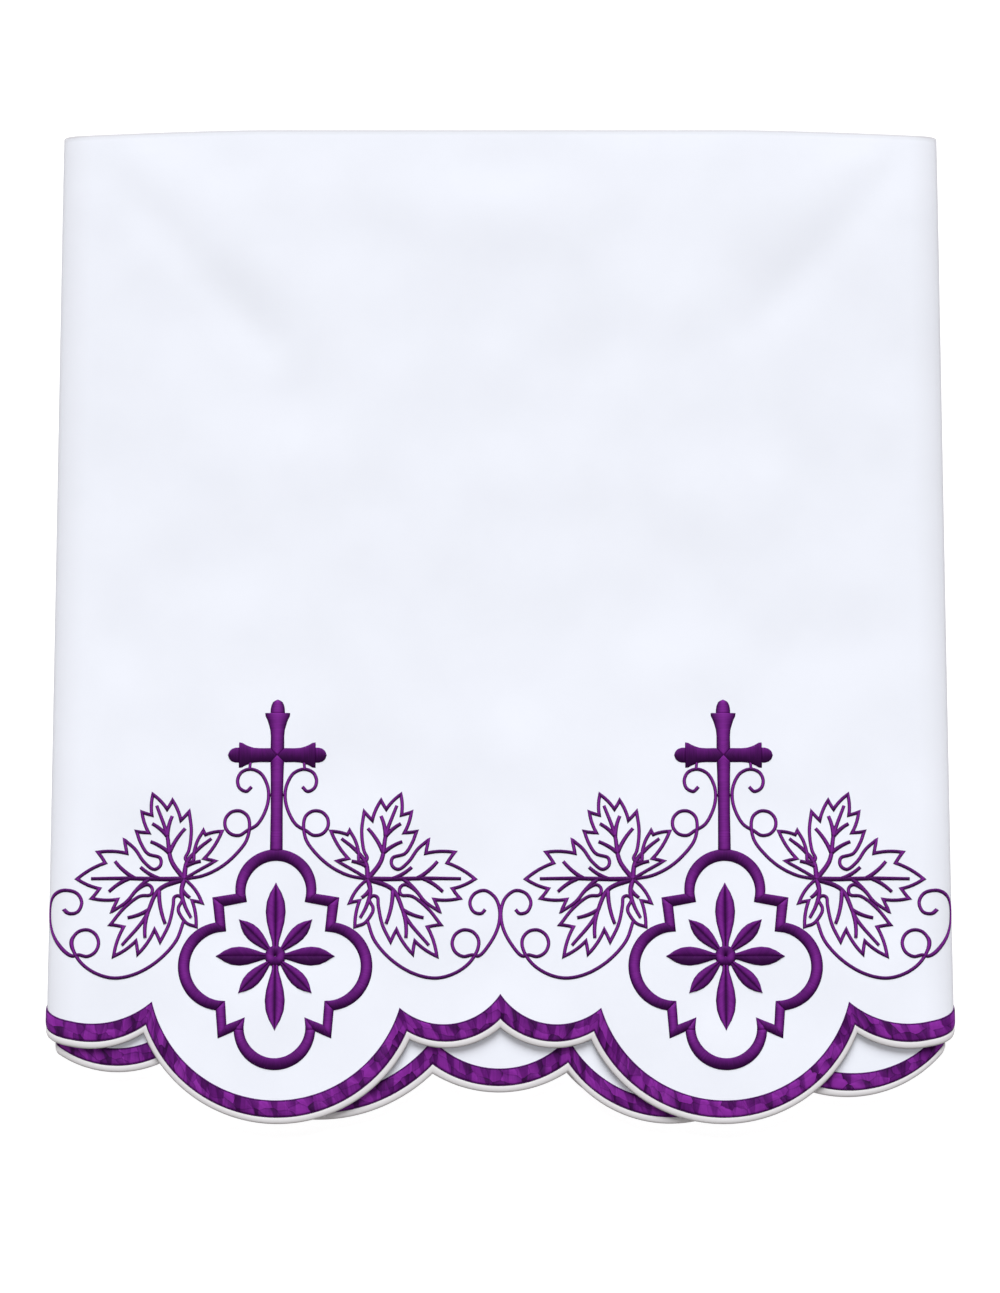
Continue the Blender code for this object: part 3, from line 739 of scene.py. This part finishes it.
def arc(x, y, radius, start, end, step=1.5):
    """Points along a circular arc, in degrees."""
    count = max(3, round(abs(math.radians(end - start)) * radius / step))
    angles = np.radians(np.linspace(start, end, count + 1))
    return np.stack((x + radius * np.cos(angles), y + radius * np.sin(angles)), axis=-1)


def straight(first, last, step=1.5):
    """Points along a straight line."""
    first, last = np.asarray(first, float), np.asarray(last, float)
    count = max(2, round(float(np.linalg.norm(last - first)) / step))
    return first + np.linspace(0, 1, count + 1)[:, None] * (last - first)


def mitre(before, after):
    """Sideways direction at a corner between two courses, lengthened so that the stroke keeps its width."""
    middle = np.array((before[1] + after[1], -before[0] - after[0])) / 2
    return middle / max(0.2, float(middle @ middle))


def sideways(line, closed=False):
    """Sideways direction at each point of a line, to the right of its course."""
    if closed:
        steps = np.roll(line, -1, axis=0) - line
        steps /= np.linalg.norm(steps, axis=1, keepdims=True)
        return np.array([mitre(steps[i - 1], steps[i]) for i in range(len(line))])
    steps = np.diff(line, axis=0)
    steps /= np.linalg.norm(steps, axis=1, keepdims=True)
    inner = [mitre(a, b) for a, b in zip(steps, steps[1:])]
    return np.array([(steps[0][1], -steps[0][0])] + inner + [(steps[-1][1], -steps[-1][0])])


def add_stroke(shape, place, line, halves, height, tone=1.0, sides=None, across=ACROSS, profile=None,
               closed=False, start_cut=0.0, slant=0.0):
    """Raised stitching along a line: domed across, with its foot sunk into the cloth.

    place turns points of the motif into places on the flat cloth. start_cut is the distance over which the
    stroke grows from a point, as an arm does in a mitred crossing.
    """
    line = np.asarray(line, float)
    halves = np.broadcast_to(np.asarray(halves, float), len(line))
    sides = sideways(line, closed) if sides is None else sides
    ring_t = np.concatenate((across, across[-2:0:-1][::max(1, (len(across) - 2) // 2)][:2]))
    over = len(across)
    dome = np.sqrt(np.maximum(0.0, 1 - across ** 2)) if profile is None else profile(across)
    raised = np.concatenate((dome, np.zeros(len(ring_t) - over)))
    flat = line[:, None, :] + sides[:, None, :] * (ring_t[None, :, None] * halves[:, None, None])
    distance = travelled(line)
    if start_cut:
        forward = np.gradient(line, axis=0)
        forward /= np.linalg.norm(forward, axis=1, keepdims=True)
        fade = np.maximum(0.0, 1 - distance / start_cut)
        flat = flat + forward[:, None, :] * (np.abs(ring_t)[None, :] * (halves * fade)[:, None])[..., None]
    heights = np.broadcast_to(np.asarray(height, float), len(line))
    lifted = STROKE_FOOT + (heights[:, None] - STROKE_FOOT) * raised[None, :]
    lifted[:, over:] = STROKE_FOOT - 0.05
    u, v = place(flat)
    rings = over_cloth(u, v, PLY / 2 + lifted)
    across_mm = ring_t[None, :] * halves[:, None]
    along_mm = distance[:, None] + slant * np.abs(across_mm)
    stitches = np.stack(np.broadcast_arrays(along_mm, across_mm), axis=-1)
    spread = ring_t if profile is None else 2 * np.abs(ring_t) - 1
    # Painted light of the stroke: its gain, with painted highlights and shade by its course.
    shape.add_rings(rings, stitches, stroke_painted_light(line, sides, ring_t, spread, tone), closed)


def end_dip(line, length):
    """Share of the full height along a run that dips over this length where it meets the next one."""
    distance = travelled(line)
    near = np.minimum(distance, distance[-1] - distance)
    return 1 - END_DIP * np.exp(-((near / length) ** 2))


def stroke_painted_light(line, sides, across, spread, gain):
    """Painted light of satin: a painted highlight in the middle where it runs upright, and a painted lit
    upper half and shaded lower half where it runs level.
    """
    forward = np.gradient(np.asarray(line, float), axis=0)
    forward /= np.maximum(1e-9, np.linalg.norm(forward, axis=1, keepdims=True))
    upright = (forward[:, 1] ** 2)[:, None]
    upward = (sides[:, 1] / np.linalg.norm(sides, axis=1))[:, None] * across[None, :]
    middle = 1 - 1.35 * spread[None, :] ** 2
    own, in_middle, on_top = SATIN_PAINTED_LIGHT
    return gain * (own + in_middle * upright * middle) + on_top * upward


def motif_place(side, y=0.0, mirror=1.0):
    """Puts points of a motif on the flat cloth: side -1 is the left motif, mirror -1 turns it over."""

    def place(points):
        return side * MOTIF_X + mirror * points[..., 0], y + points[..., 1]

    return place


def sheet_columns(hems):
    """Columns of the flat cloth: every notch of both hems, with even steps between them."""
    stops = {0.0, CLOTH_END, -CLOTH_END}
    stops |= {side * stop for stop in OUTER_PATH.stops[1:3] for side in (1, -1)}
    for hem in hems:
        u, _ = hem.at(EDGE_SHARE)
        stops |= {float(value) for value in u[hem.notches]}
    stops = sorted(stops)
    columns = [stops[0]]
    for low, high in zip(stops, stops[1:]):
        if high - low < LEAST_COLUMN:
            continue
        step = COLUMN_STEPS[np.searchsorted(OUTER_PATH.stops[1:3], abs(low + high) / 2, side="right")]
        count = max(1, math.ceil((high - columns[-1]) / step))
        columns += list(columns[-1] + (high - columns[-1]) * np.arange(1, count + 1) / count)
    return np.array(columns)


def altar_sheet(finish):
    """The whole sheet: both plies of the fold at the top, and the returns behind."""
    front, back = Hem(False, SHEET_HEM_STEPS), Hem(True, SHEET_HEM_STEPS)
    columns = sheet_columns((front, back))
    edge_u, edge_v = front.at(EDGE_SHARE)
    lowest = np.interp(columns, edge_u, edge_v)
    edge_u, edge_v = back.at(EDGE_SHARE)
    highest = np.interp(columns, edge_u, edge_v)
    back_low = hem_top_v(BACK_ROWS_LOW)
    rows = [lowest + np.linspace(0, 1, 31)[:, None] * (HEM_ROWS_TOP - lowest)]
    plain = np.concatenate((
        np.linspace(HEM_ROWS_TOP, FACE_ROWS_CHANGE, 41)[1:],
        np.linspace(FACE_ROWS_CHANGE, TOP_LINE - 3, 38)[1:],
        np.linspace(TOP_LINE, TOP_LINE + ROLL_LENGTH, 9),
        np.linspace(TOP_LINE + ROLL_LENGTH + 4, back_low, 34),
    ))
    rows.append(np.repeat(plain[:, None], len(columns), axis=1))
    rows.append(back_low + np.linspace(0, 1, 14)[1:, None] * (highest - back_low))
    v = np.concatenate(rows)
    u = np.broadcast_to(columns, v.shape)
    points = cloth_point(u, v)
    count, wide = v.shape
    i, j = np.meshgrid(np.arange(count - 1), np.arange(wide - 1), indexing="ij")
    corner = (i * wide + j).reshape(-1)
    faces = np.stack((corner, corner + 1, corner + wide + 1, corner + wide), axis=-1).tolist()
    shape = Shape()
    # Painted shade: the sheet's colour darkens round its side rolls and on its top roll.
    beside = np.abs(u) - OUTER_PATH.half_front
    over = smooth_step(v - TOP_LINE, *TOP_SHADE_IN)
    over = over * smooth_step(TOP_LINE - v, -ROLL_LENGTH - TOP_SHADE_OUT[1], -TOP_SHADE_OUT[0])
    painted_lights = 1 - TOP_SHADE * over
    for depth, start, full in SIDE_SHADES:
        painted_lights = painted_lights - depth * smooth_step(beside, start, full)
    shape.add(points, faces, np.stack((u, v), axis=-1), np.clip(painted_lights, 0.0, 1.0))
    sheet = shape.make("altar_sheet", finish)
    solid = sheet.modifiers.new("Thickness", "SOLIDIFY")
    solid.thickness = PLY * MM
    solid.offset = 0.0
    solid.use_even_offset = True
    bpy.ops.object.select_all(action="DESELECT")
    bpy.context.view_layer.objects.active = sheet
    sheet.select_set(True)
    bpy.ops.object.modifier_apply(modifier=solid.name)
    tall = highest - lowest
    area = float(((tall[1:] + tall[:-1]) / 2 * np.diff(columns)).sum()) * MM * MM
    return sheet, area, float(v.max() - v.min()) * MM


def hem_strip(name, hem, finish, middle, reaches, heights, across, painted_lights):
    """A strip of stitching along a hem, from the reach and the height of each point round its section."""
    rings = [over_cloth(*hem.at(reach), height, hem.side) for reach, height in zip(reaches, heights)]
    along = travelled(np.stack(hem.at(middle), axis=-1))
    stitches = np.stack(np.broadcast_arrays(along[:, None], across[None, :]), axis=-1)
    shape = Shape()
    shape.add_rings(np.stack(rings, axis=1), stitches, painted_lights)
    return shape.make(name, finish)


def border_band(name, hem, finish, height):
    """The purple border of one hem, slightly domed, between the edging and the cloth's plain face."""
    t = np.sin(np.radians(np.linspace(-90, 90, 13)))
    under = np.array((0.9, -0.9))
    middle, half = (EDGE_SHARE + 1.0) / 2, (1.0 - EDGE_SHARE) / 2
    section = np.concatenate((t, under))
    dome = (1 - np.abs(t) ** 5) ** 0.6
    heights = np.concatenate((BORDER_RIM + (height - BORDER_RIM) * dome, (BORDER_FOOT, BORDER_FOOT)))
    return hem_strip(name, hem, finish, middle, middle + half * section, heights,
                     section * BORDER_HALF, 0.5)


def edging_bead(name, hem, finish, height):
    """The white bead along one hem, wrapped round the cloth's raw edge."""
    angles = np.radians(np.arange(0, 360, 24))
    middle, half = EDGE_SHARE / 2, EDGE_SHARE / 2 + EDGING_LAP
    # Painted light round the bead: painted shade on its outer side towards the hem, painted light on its
    # top.
    own, lost, gained = EDGING_PAINTED_LIGHT
    painted_lights = own - lost * np.maximum(0.0, np.cos(angles)) ** 1.5 + gained * np.sin(angles)
    return hem_strip(name, hem, finish, middle, middle - half * np.cos(angles),
                     height * np.sin(angles), np.degrees(angles) * EDGING_DEGREE, painted_lights)


def limb(angle, outline, count, length=1.0, width=1.0):
    """Points of an arm, a bulb or a petal in a direction in degrees, and its half widths along them."""
    reaches = np.linspace(outline[0][0], outline[-1][0], count)
    turn = math.radians(angle)
    line = (reaches * length)[:, None] * np.array((math.cos(turn), math.sin(turn)))
    return line, np.interp(reaches, *zip(*outline)) * width


def cross_stitching(shape, side, height):
    """A cross with flared arms, collars and round tips, its arms mitred at the middle."""
    place = motif_place(side, y=CROSS_Y)
    sides = [(angle, SIDE_ARM, SIDE_BULB) for angle in (0, 180)]
    for angle, arm, bulb in ((90, HEAD_ARM, HEAD_BULB), *sides, (-90, FOOT_ARM, None)):
        line, halves = limb(angle, arm, max(12, round(arm[-1][0] / 1.3)))
        add_stroke(shape, place, line, halves, height * end_dip(line, 0.9), start_cut=CROSS_MITRE)
        if bulb:
            line, halves = limb(angle, bulb, 12)
            full = height * 0.92 * np.minimum(1.0, 0.35 + halves / 6.0) * end_dip(line, 0.8)
            add_stroke(shape, place, line, halves, full, 1.1)


def frame_runs():
    """Runs of the whole four-lobed frame, in order round it: the points of each and its half widths."""
    half, here, width = [], None, ARC_END_HALF
    for row in FRAME_HALF:
        if row[0] == "corner":
            run = straight(here, row[1:3])
            half.append((run, np.linspace(width, row[3], len(run))))
            width = row[3]
        else:
            points = arc(*row[1:])
            if here is not None:
                run = straight(here, points[0])
                half.append((run, np.linspace(width, ARC_END_HALF, len(run))))
            distance = travelled(points)
            nearest = np.minimum(distance, distance[-1] - distance)
            if here is None:
                nearest = distance[-1] - distance
            if row is FRAME_HALF[-1]:
                nearest = distance
            widening = (ARC_HALF - ARC_END_HALF) * smooth_step(nearest, 0.0, 26.0)
            half.append((points, ARC_END_HALF + widening))
            width = ARC_END_HALF
        here = half[-1][0][-1]
    other = [(run[::-1] * np.array((-1.0, 1.0)), halves[::-1]) for run, halves in half]
    top = tuple(np.concatenate((a[:-1], b)) for a, b in zip(other[0], half[0]))
    bottom = tuple(np.concatenate((a[:-1], b)) for a, b in zip(half[-1], other[-1]))
    return [top] + half[1:-1] + [bottom] + other[-2:0:-1]


def frame_stitching(shape, side, height):
    """The four-lobed frame, run by run, with mitred corners between the runs."""
    place = motif_place(side, y=MEDALLION_Y)
    runs = frame_runs()
    for i, (run, halves) in enumerate(runs):
        before, after = runs[i - 1][0], runs[(i + 1) % len(runs)][0]
        courses = [points / np.linalg.norm(points) for points in (
            before[-1] - before[-2], run[1] - run[0], run[-1] - run[-2], after[1] - after[0])]
        sides = sideways(run)
        sides[0] = mitre(courses[0], courses[1])
        sides[-1] = mitre(courses[2], courses[3])
        add_stroke(shape, place, run, halves, height * end_dip(run, 0.9), sides=sides)


def split_satin(t):
    """Two domes side by side, with a groove between them."""
    domes = np.sqrt(np.maximum(0.0, 1 - (2 * np.abs(t) - 1) ** 2)) * (1 - 0.25 * np.abs(t))
    return np.where(np.abs(t) < 0.5, np.maximum(domes, 0.3), domes)


def rosette_stitching(shape, side, height):
    """Eight split petals and a ringed hub."""
    place = motif_place(side, y=MEDALLION_Y + ROSETTE_UP)
    across = np.concatenate((np.linspace(-1, -0.06, 8), (0.0,), np.linspace(0.06, 1, 8)))
    for i, (length, half_width) in enumerate(PETALS):
        line, halves = limb(90 - 45 * i, PETAL_SIDE, 34, length, half_width)
        full = height * np.minimum(1.0, 0.4 + halves / 5.0)
        add_stroke(shape, place, line, halves, full, across=across, profile=split_satin, slant=-0.7)
    ring = arc(0.0, 0.0, ROSETTE_HUB * 0.5, 0.0, 360.0, 1.0)[:-1]
    add_stroke(shape, place, ring, ROSETTE_HUB * 0.485, height * 1.12, closed=True)


def bulged(first, last, bulge, steps=6):
    """A slightly bowed line between two corners."""
    first, last = np.asarray(first, float), np.asarray(last, float)
    course = last - first
    control = (first + last) / 2 + bulge * np.array((course[1], -course[0]))
    t = np.linspace(0, 1, steps + 1)[:, None]
    return (1 - t) ** 2 * first + 2 * t * (1 - t) * control + t * t * last


def lobe_axes(direction, length):
    """A lobe's course from the base to its tip, and the same length to its left."""
    turn = math.radians(direction)
    along = length * np.array((math.cos(turn), math.sin(turn)))
    return along, np.array((-along[1], along[0]))


def pocket(previous, following, direction, reach, radius):
    """The outline from the last points of one lobe, round the pocket, to the next lobe's first tooth."""
    out, beside = lobe_axes(direction, 1.0)
    centre = out * reach
    necks = [centre + radius * (1.4 * out + 0.62 * sign * beside) for sign in (-1, 1)]
    angles = np.radians(range(-110, -251, -35))
    turns = [centre + radius * (math.cos(a) * out + math.sin(a) * beside) for a in angles]
    middles = [bulged(previous[-1], necks[0], 0.12, 2)[1], bulged(necks[1], following, 0.12, 2)[1]]
    return smooth_curve(previous + [middles[0], necks[0]] + turns + [necks[1], middles[1], following])


def leaf_outline():
    """Outline of a vine leaf about its base, from the base round all lobes and back."""
    runs, here = [], np.zeros(2)
    for i, (direction, length, low, high, _, _) in enumerate(LEAF_LOBES):
        along, left = lobe_axes(direction, length)
        rising = [(along * a - left * r, along * b - left * s) for a, r, b, s in TEETH[low]]
        falling = [(along * a + left * r, along * b + left * s) for a, r, b, s in TEETH[high]][::-1]
        first = rising[0][0] if rising else along
        runs.append(pocket(last, first, *LEAF_POCKETS[i - 1]) if i else bulged(here, first, 0.16))
        for j, (tooth, notch) in enumerate(rising):
            following = rising[j + 1][0] if j + 1 < len(rising) else along
            runs += [bulged(tooth, notch, -0.04, 3), bulged(notch, following, 0.1)]
        here = along
        for tooth, notch in falling:
            runs += [bulged(here, notch, 0.1), bulged(notch, tooth, -0.04, 3)]
            here = tooth
        last = [here] if falling else [here, along * 0.88 + left * 0.17, along * 0.62 + left * 0.27]
    runs.append(bulged(here, (0.0, 0.0), -0.02))
    return np.concatenate([runs[0]] + [run[1:] for run in runs[1:]])


def leaf_lines():
    """Outline and veins of a vine leaf about its base: a list of (line, half width along it)."""
    line = leaf_outline()
    lines = [(line, np.full(len(line), LINE_HALF))]
    for direction, length, low, high, near_bow, half_way_bow in LEAF_LOBES:
        along, left = lobe_axes(direction, length)
        near = along * VEIN_BENDS[0] + left / length * near_bow
        half_way = along * VEIN_BENDS[1] + left / length * half_way_bow
        end = along * VEIN_ENDS[length > LONG_LOBE] + left / length * half_way_bow * 0.5
        main = smooth_curve([(0.0, 0.0), near, half_way, end])
        lines.append((main, np.linspace(VEIN_HALF * 1.1, VEIN_HALF * 0.7, len(main))))
        for sign, teeth in ((-1, TEETH[low]), (1, TEETH[high])):
            for a, r, _, _ in teeth:
                if teeth is TEETH["nick"]:
                    continue
                here = main[max(0, round((a - 0.34) / 0.88 * (len(main) - 1)))]
                spread = (0.66 if a > 0.58 else 0.3) * min(1.0, (length / 68.0) ** 2)
                goal = along * (a - 0.16) + sign * left * r * spread
                vein = bulged(here, goal, 0.1 * sign)
                lines.append((vein, np.linspace(VEIN_HALF * 0.95, VEIN_HALF * 0.75, len(vein))))
    return lines


def motif_lines():
    """Every thin line of one half of a motif: leaf, tendrils and the short ties that hold a curl."""
    base = np.array(LEAF_BASE)
    made = [(line + base, halves) for line, halves in leaf_lines()]
    curl = [(23.0 + r * math.cos(math.radians(a)), -134.3 + r * math.sin(math.radians(a))) for a, r in (
        (-128, 4.6), (-80, 7.4), (-35, 8.2), (10, 8.6), (55, 9.6), (100, 10.6), (145, 12.2), (190, 15.6))]
    loop = [tuple(p) for p in arc(31.4, -166.9, 9.9, 218.0, 545.0, 7.0)]
    upper = smooth_curve(curl + [(6.6, -146.5), (9.0, -157.0), (15.4, -168.0)] + loop
                         + [(23.6, -180.0), (31.5, -191.0), (43.5, -201.5), (58.0, -208.6), LEAF_BASE])
    made.append((upper, np.full(len(upper), LINE_HALF)))
    approach = [(72.9, -244.8), (78.6, -260.0), (92.5, -275.5), (110.0, -286.0), (127.0, -289.4),
                (142.0, -285.6), (154.0, -277.0)]
    loop = [tuple(p) for p in arc(150.6, -262.0, 10.6, -20.0, 300.0, 7.0)]
    outward = [(161.0, -272.0), (170.0, -262.0), (176.4, -249.0), (177.6, -236.0), (174.0, -226.0),
               (166.0, -220.4), (157.6, -223.0), (154.0, -230.0), (157.0, -237.2), (163.0, -238.6),
               (166.2, -235.4)]
    lower = smooth_curve(approach + loop + outward)
    made.append((lower, np.full(len(lower), LINE_HALF)))
    for points in (((22.0, -124.0), (21.4, -118.6)), ((6.4, -144.6), (5.0, -144.6))):
        tie = straight(*points, step=1.0)
        made.append((tie, np.full(len(tie), LINE_HALF * 0.85)))
    return made


def height_setting(name, description, value):
    """A length that the panel offers."""
    return bpy.props.FloatProperty(name=name, description=description, default=value, unit="LENGTH")


def colour_setting(name, description, value):
    """A colour that the panel offers."""
    return bpy.props.FloatVectorProperty(name=name, description=description, default=value, subtype="COLOR")


class AltarClothSizes(bpy.types.PropertyGroup):
    satin_height: height_setting("Satin height", "Height of the satin stitches above the cloth", 0.0015)
    line_height: height_setting("Outline height", "Height of the outline stitches above the cloth", 0.00075)
    border_height: height_setting(
        "Border height", "Height of the border's middle above the cloth's own middle", 0.0016)
    bead_height: height_setting("Edging half height", "Half the thickness of the white edging", 0.00105)


class AltarClothColours(bpy.types.PropertyGroup):
    white: colour_setting("Cloth", "Colour of the cotton", (0.865, 0.895, 0.965))
    edging: colour_setting("Edging", "Colour of the white edging stitch", (0.67, 0.655, 0.665))
    # The colour of the painted shade on the edging's under side.
    edging_painted_shade: colour_setting(
        "Edging shade", "Colour of the painted shade on the edging, and a little between its threads", (0.40, 0.38, 0.385))
    purple_dark: colour_setting(
        "Dark purple", "Colour of satin that faces away from the light", (0.032, 0.0012, 0.048))
    purple: colour_setting("Purple", "Middle colour of the satin", (0.108, 0.0068, 0.155))
    purple_bright: colour_setting(
        "Bright purple", "Colour of satin that faces the light", (0.25, 0.024, 0.335))
    ground: colour_setting("Ground", "Colour of the ground", (0.35, 0.35, 0.35))


PURPLES = ("purple_dark", "purple", "purple_bright")


def chosen(context, *names):
    """Colours of the panel by their names."""
    return [tuple(getattr(context.scene.altar_cloth_colours, name)) for name in names]


class ALTARCLOTH_OT_sheet(bpy.types.Operator):
    """Make the folded white sheet"""

    bl_idname = "altarcloth.sheet"
    bl_label = "Folded sheet"

    def execute(self, context):
        sheet, area, length = altar_sheet(linen_finish(*chosen(context, "white")))
        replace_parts(sheet, "altar_cloth")
        sheet["flat_area"] = area
        sheet["flat_length"] = length
        return {"FINISHED"}


class ALTARCLOTH_OT_borders(bpy.types.Operator):
    """Make the purple borders and the white edging of both hems"""

    bl_idname = "altarcloth.borders"
    bl_label = "Borders and edging"

    def execute(self, context):
        sizes = context.scene.altar_cloth_sizes
        purple = border_finish(*chosen(context, *PURPLES))
        white = cord_finish(*chosen(context, "edging", "edging_painted_shade"))
        for place, on_back in (("front", False), ("back", True)):
            hem = Hem(on_back, HEM_STEPS)
            band = border_band("band_" + place, hem, purple, sizes.border_height / MM)
            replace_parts(band, "border_" + place)
            bead = edging_bead("bead_" + place, hem, white, sizes.bead_height / MM)
            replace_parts(bead, "edging_" + place)
        return {"FINISHED"}


class ALTARCLOTH_OT_satin_motifs(bpy.types.Operator):
    """Make the crosses, the four-lobed frames and the rosettes"""

    bl_idname = "altarcloth.satin_motifs"
    bl_label = "Satin motifs"

    def execute(self, context):
        purple = satin_finish(*chosen(context, *PURPLES))
        height = context.scene.altar_cloth_sizes.satin_height / MM
        for place, side in (("left", -1), ("right", 1)):
            for name, node, stitch in (
                ("satin_cross_", "cross_", cross_stitching),
                ("satin_frame_", "medallion_", frame_stitching),
                ("satin_rosette_", "ornament_", rosette_stitching),
            ):
                shape = Shape()
                stitch(shape, side, height)
                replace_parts(shape.make(name + place, purple), node + place)
        return {"FINISHED"}


class ALTARCLOTH_OT_vine(bpy.types.Operator):
    """Make the vine leaves and tendrils beside each frame"""

    bl_idname = "altarcloth.vine"
    bl_label = "Leaves and tendrils"

    def execute(self, context):
        purple = line_finish(*chosen(context, "purple_dark", "purple_bright"))
        height = context.scene.altar_cloth_sizes.line_height / MM
        lines = motif_lines()
        for place, side in (("left", -1), ("right", 1)):
            shape = Shape()
            for mirror in (-1.0, 1.0):
                place_line = motif_place(side, mirror=mirror)
                for line, halves in lines:
                    add_stroke(shape, place_line, line, halves, height, across=ACROSS_THIN)
            shape.make("vine_" + place, purple)
        return {"FINISHED"}


class ALTARCLOTH_OT_stage(bpy.types.Operator):
    """Make the pale ground, the soft lights and the camera"""

    bl_idname = "altarcloth.stage"
    bl_label = "Ground, lights and camera"

    def execute(self, context):
        scene = context.scene
        bpy.ops.object.select_all(action="DESELECT")
        bpy.ops.mesh.primitive_plane_add(size=GROUND_WIDTH, location=(0, 0, GROUND_Z))
        ground = context.active_object
        ground.name = "ground"
        ground.data.transform(ground.matrix_world)
        ground.location = (0, 0, 0)
        ground.data.materials.append(floor_finish(*chosen(context, "ground")))
        scene.world = scene.world or bpy.data.worlds.new("World")
        scene.world.use_nodes = True
        background = scene.world.node_tree.nodes["Background"]
        background.inputs["Color"].default_value = WORLD_COLOUR
        background.inputs["Strength"].default_value = WORLD_STRENGTH
        for name, kind, place, spread, power in LIGHTS:
            bpy.ops.object.light_add(type=kind, location=place)
            light = context.active_object
            light.name = name
            light.data.energy = power
            light.data.color = LIGHT_COLOUR
            setattr(light.data, "angle" if kind == "SUN" else "size", spread)
            light.rotation_euler = (-Vector(place)).to_track_quat("-Z", "Y").to_euler()
        bpy.ops.object.camera_add(location=CAMERA_PLACE, rotation=(math.radians(CAMERA_TILT), 0, 0))
        camera = context.active_object
        camera.name = "camera"
        camera.data.sensor_width = SENSOR_WIDTH
        camera.data.lens = CAMERA_LENS
        camera.data.clip_end = CAMERA_REACH
        scene.camera = camera
        scene.view_settings.view_transform = "Standard"
        scene.view_settings.look = "None"
        return {"FINISHED"}


class ALTARCLOTH_PT_panel(bpy.types.Panel):
    """Makers and sizes of the altar cloth"""

    bl_idname = "ALTARCLOTH_PT_panel"
    bl_label = "Altar cloth"
    bl_space_type = "VIEW_3D"
    bl_region_type = "UI"
    bl_category = "Altar cloth"

    def draw(self, context):
        layout = self.layout
        for operator in OPERATORS:
            layout.operator(operator.bl_idname)
        for group in (context.scene.altar_cloth_sizes, context.scene.altar_cloth_colours):
            for name in type(group).__annotations__:
                layout.prop(group, name)


OPERATORS = (ALTARCLOTH_OT_sheet, ALTARCLOTH_OT_borders, ALTARCLOTH_OT_satin_motifs, ALTARCLOTH_OT_vine,
             ALTARCLOTH_OT_stage)
CLASSES = (AltarClothSizes, AltarClothColours, *OPERATORS, ALTARCLOTH_PT_panel)


def register():
    for made in CLASSES:
        bpy.utils.register_class(made)
    bpy.types.Scene.altar_cloth_sizes = bpy.props.PointerProperty(type=AltarClothSizes)
    bpy.types.Scene.altar_cloth_colours = bpy.props.PointerProperty(type=AltarClothColours)


def unregister():
    del bpy.types.Scene.altar_cloth_sizes
    del bpy.types.Scene.altar_cloth_colours
    for made in reversed(CLASSES):
        bpy.utils.unregister_class(made)


def main():
    register()
    bpy.ops.altarcloth.sheet()
    bpy.ops.altarcloth.borders()
    bpy.ops.altarcloth.satin_motifs()
    bpy.ops.altarcloth.vine()
    bpy.ops.altarcloth.stage()
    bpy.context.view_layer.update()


if __name__ == "__main__":
    main()
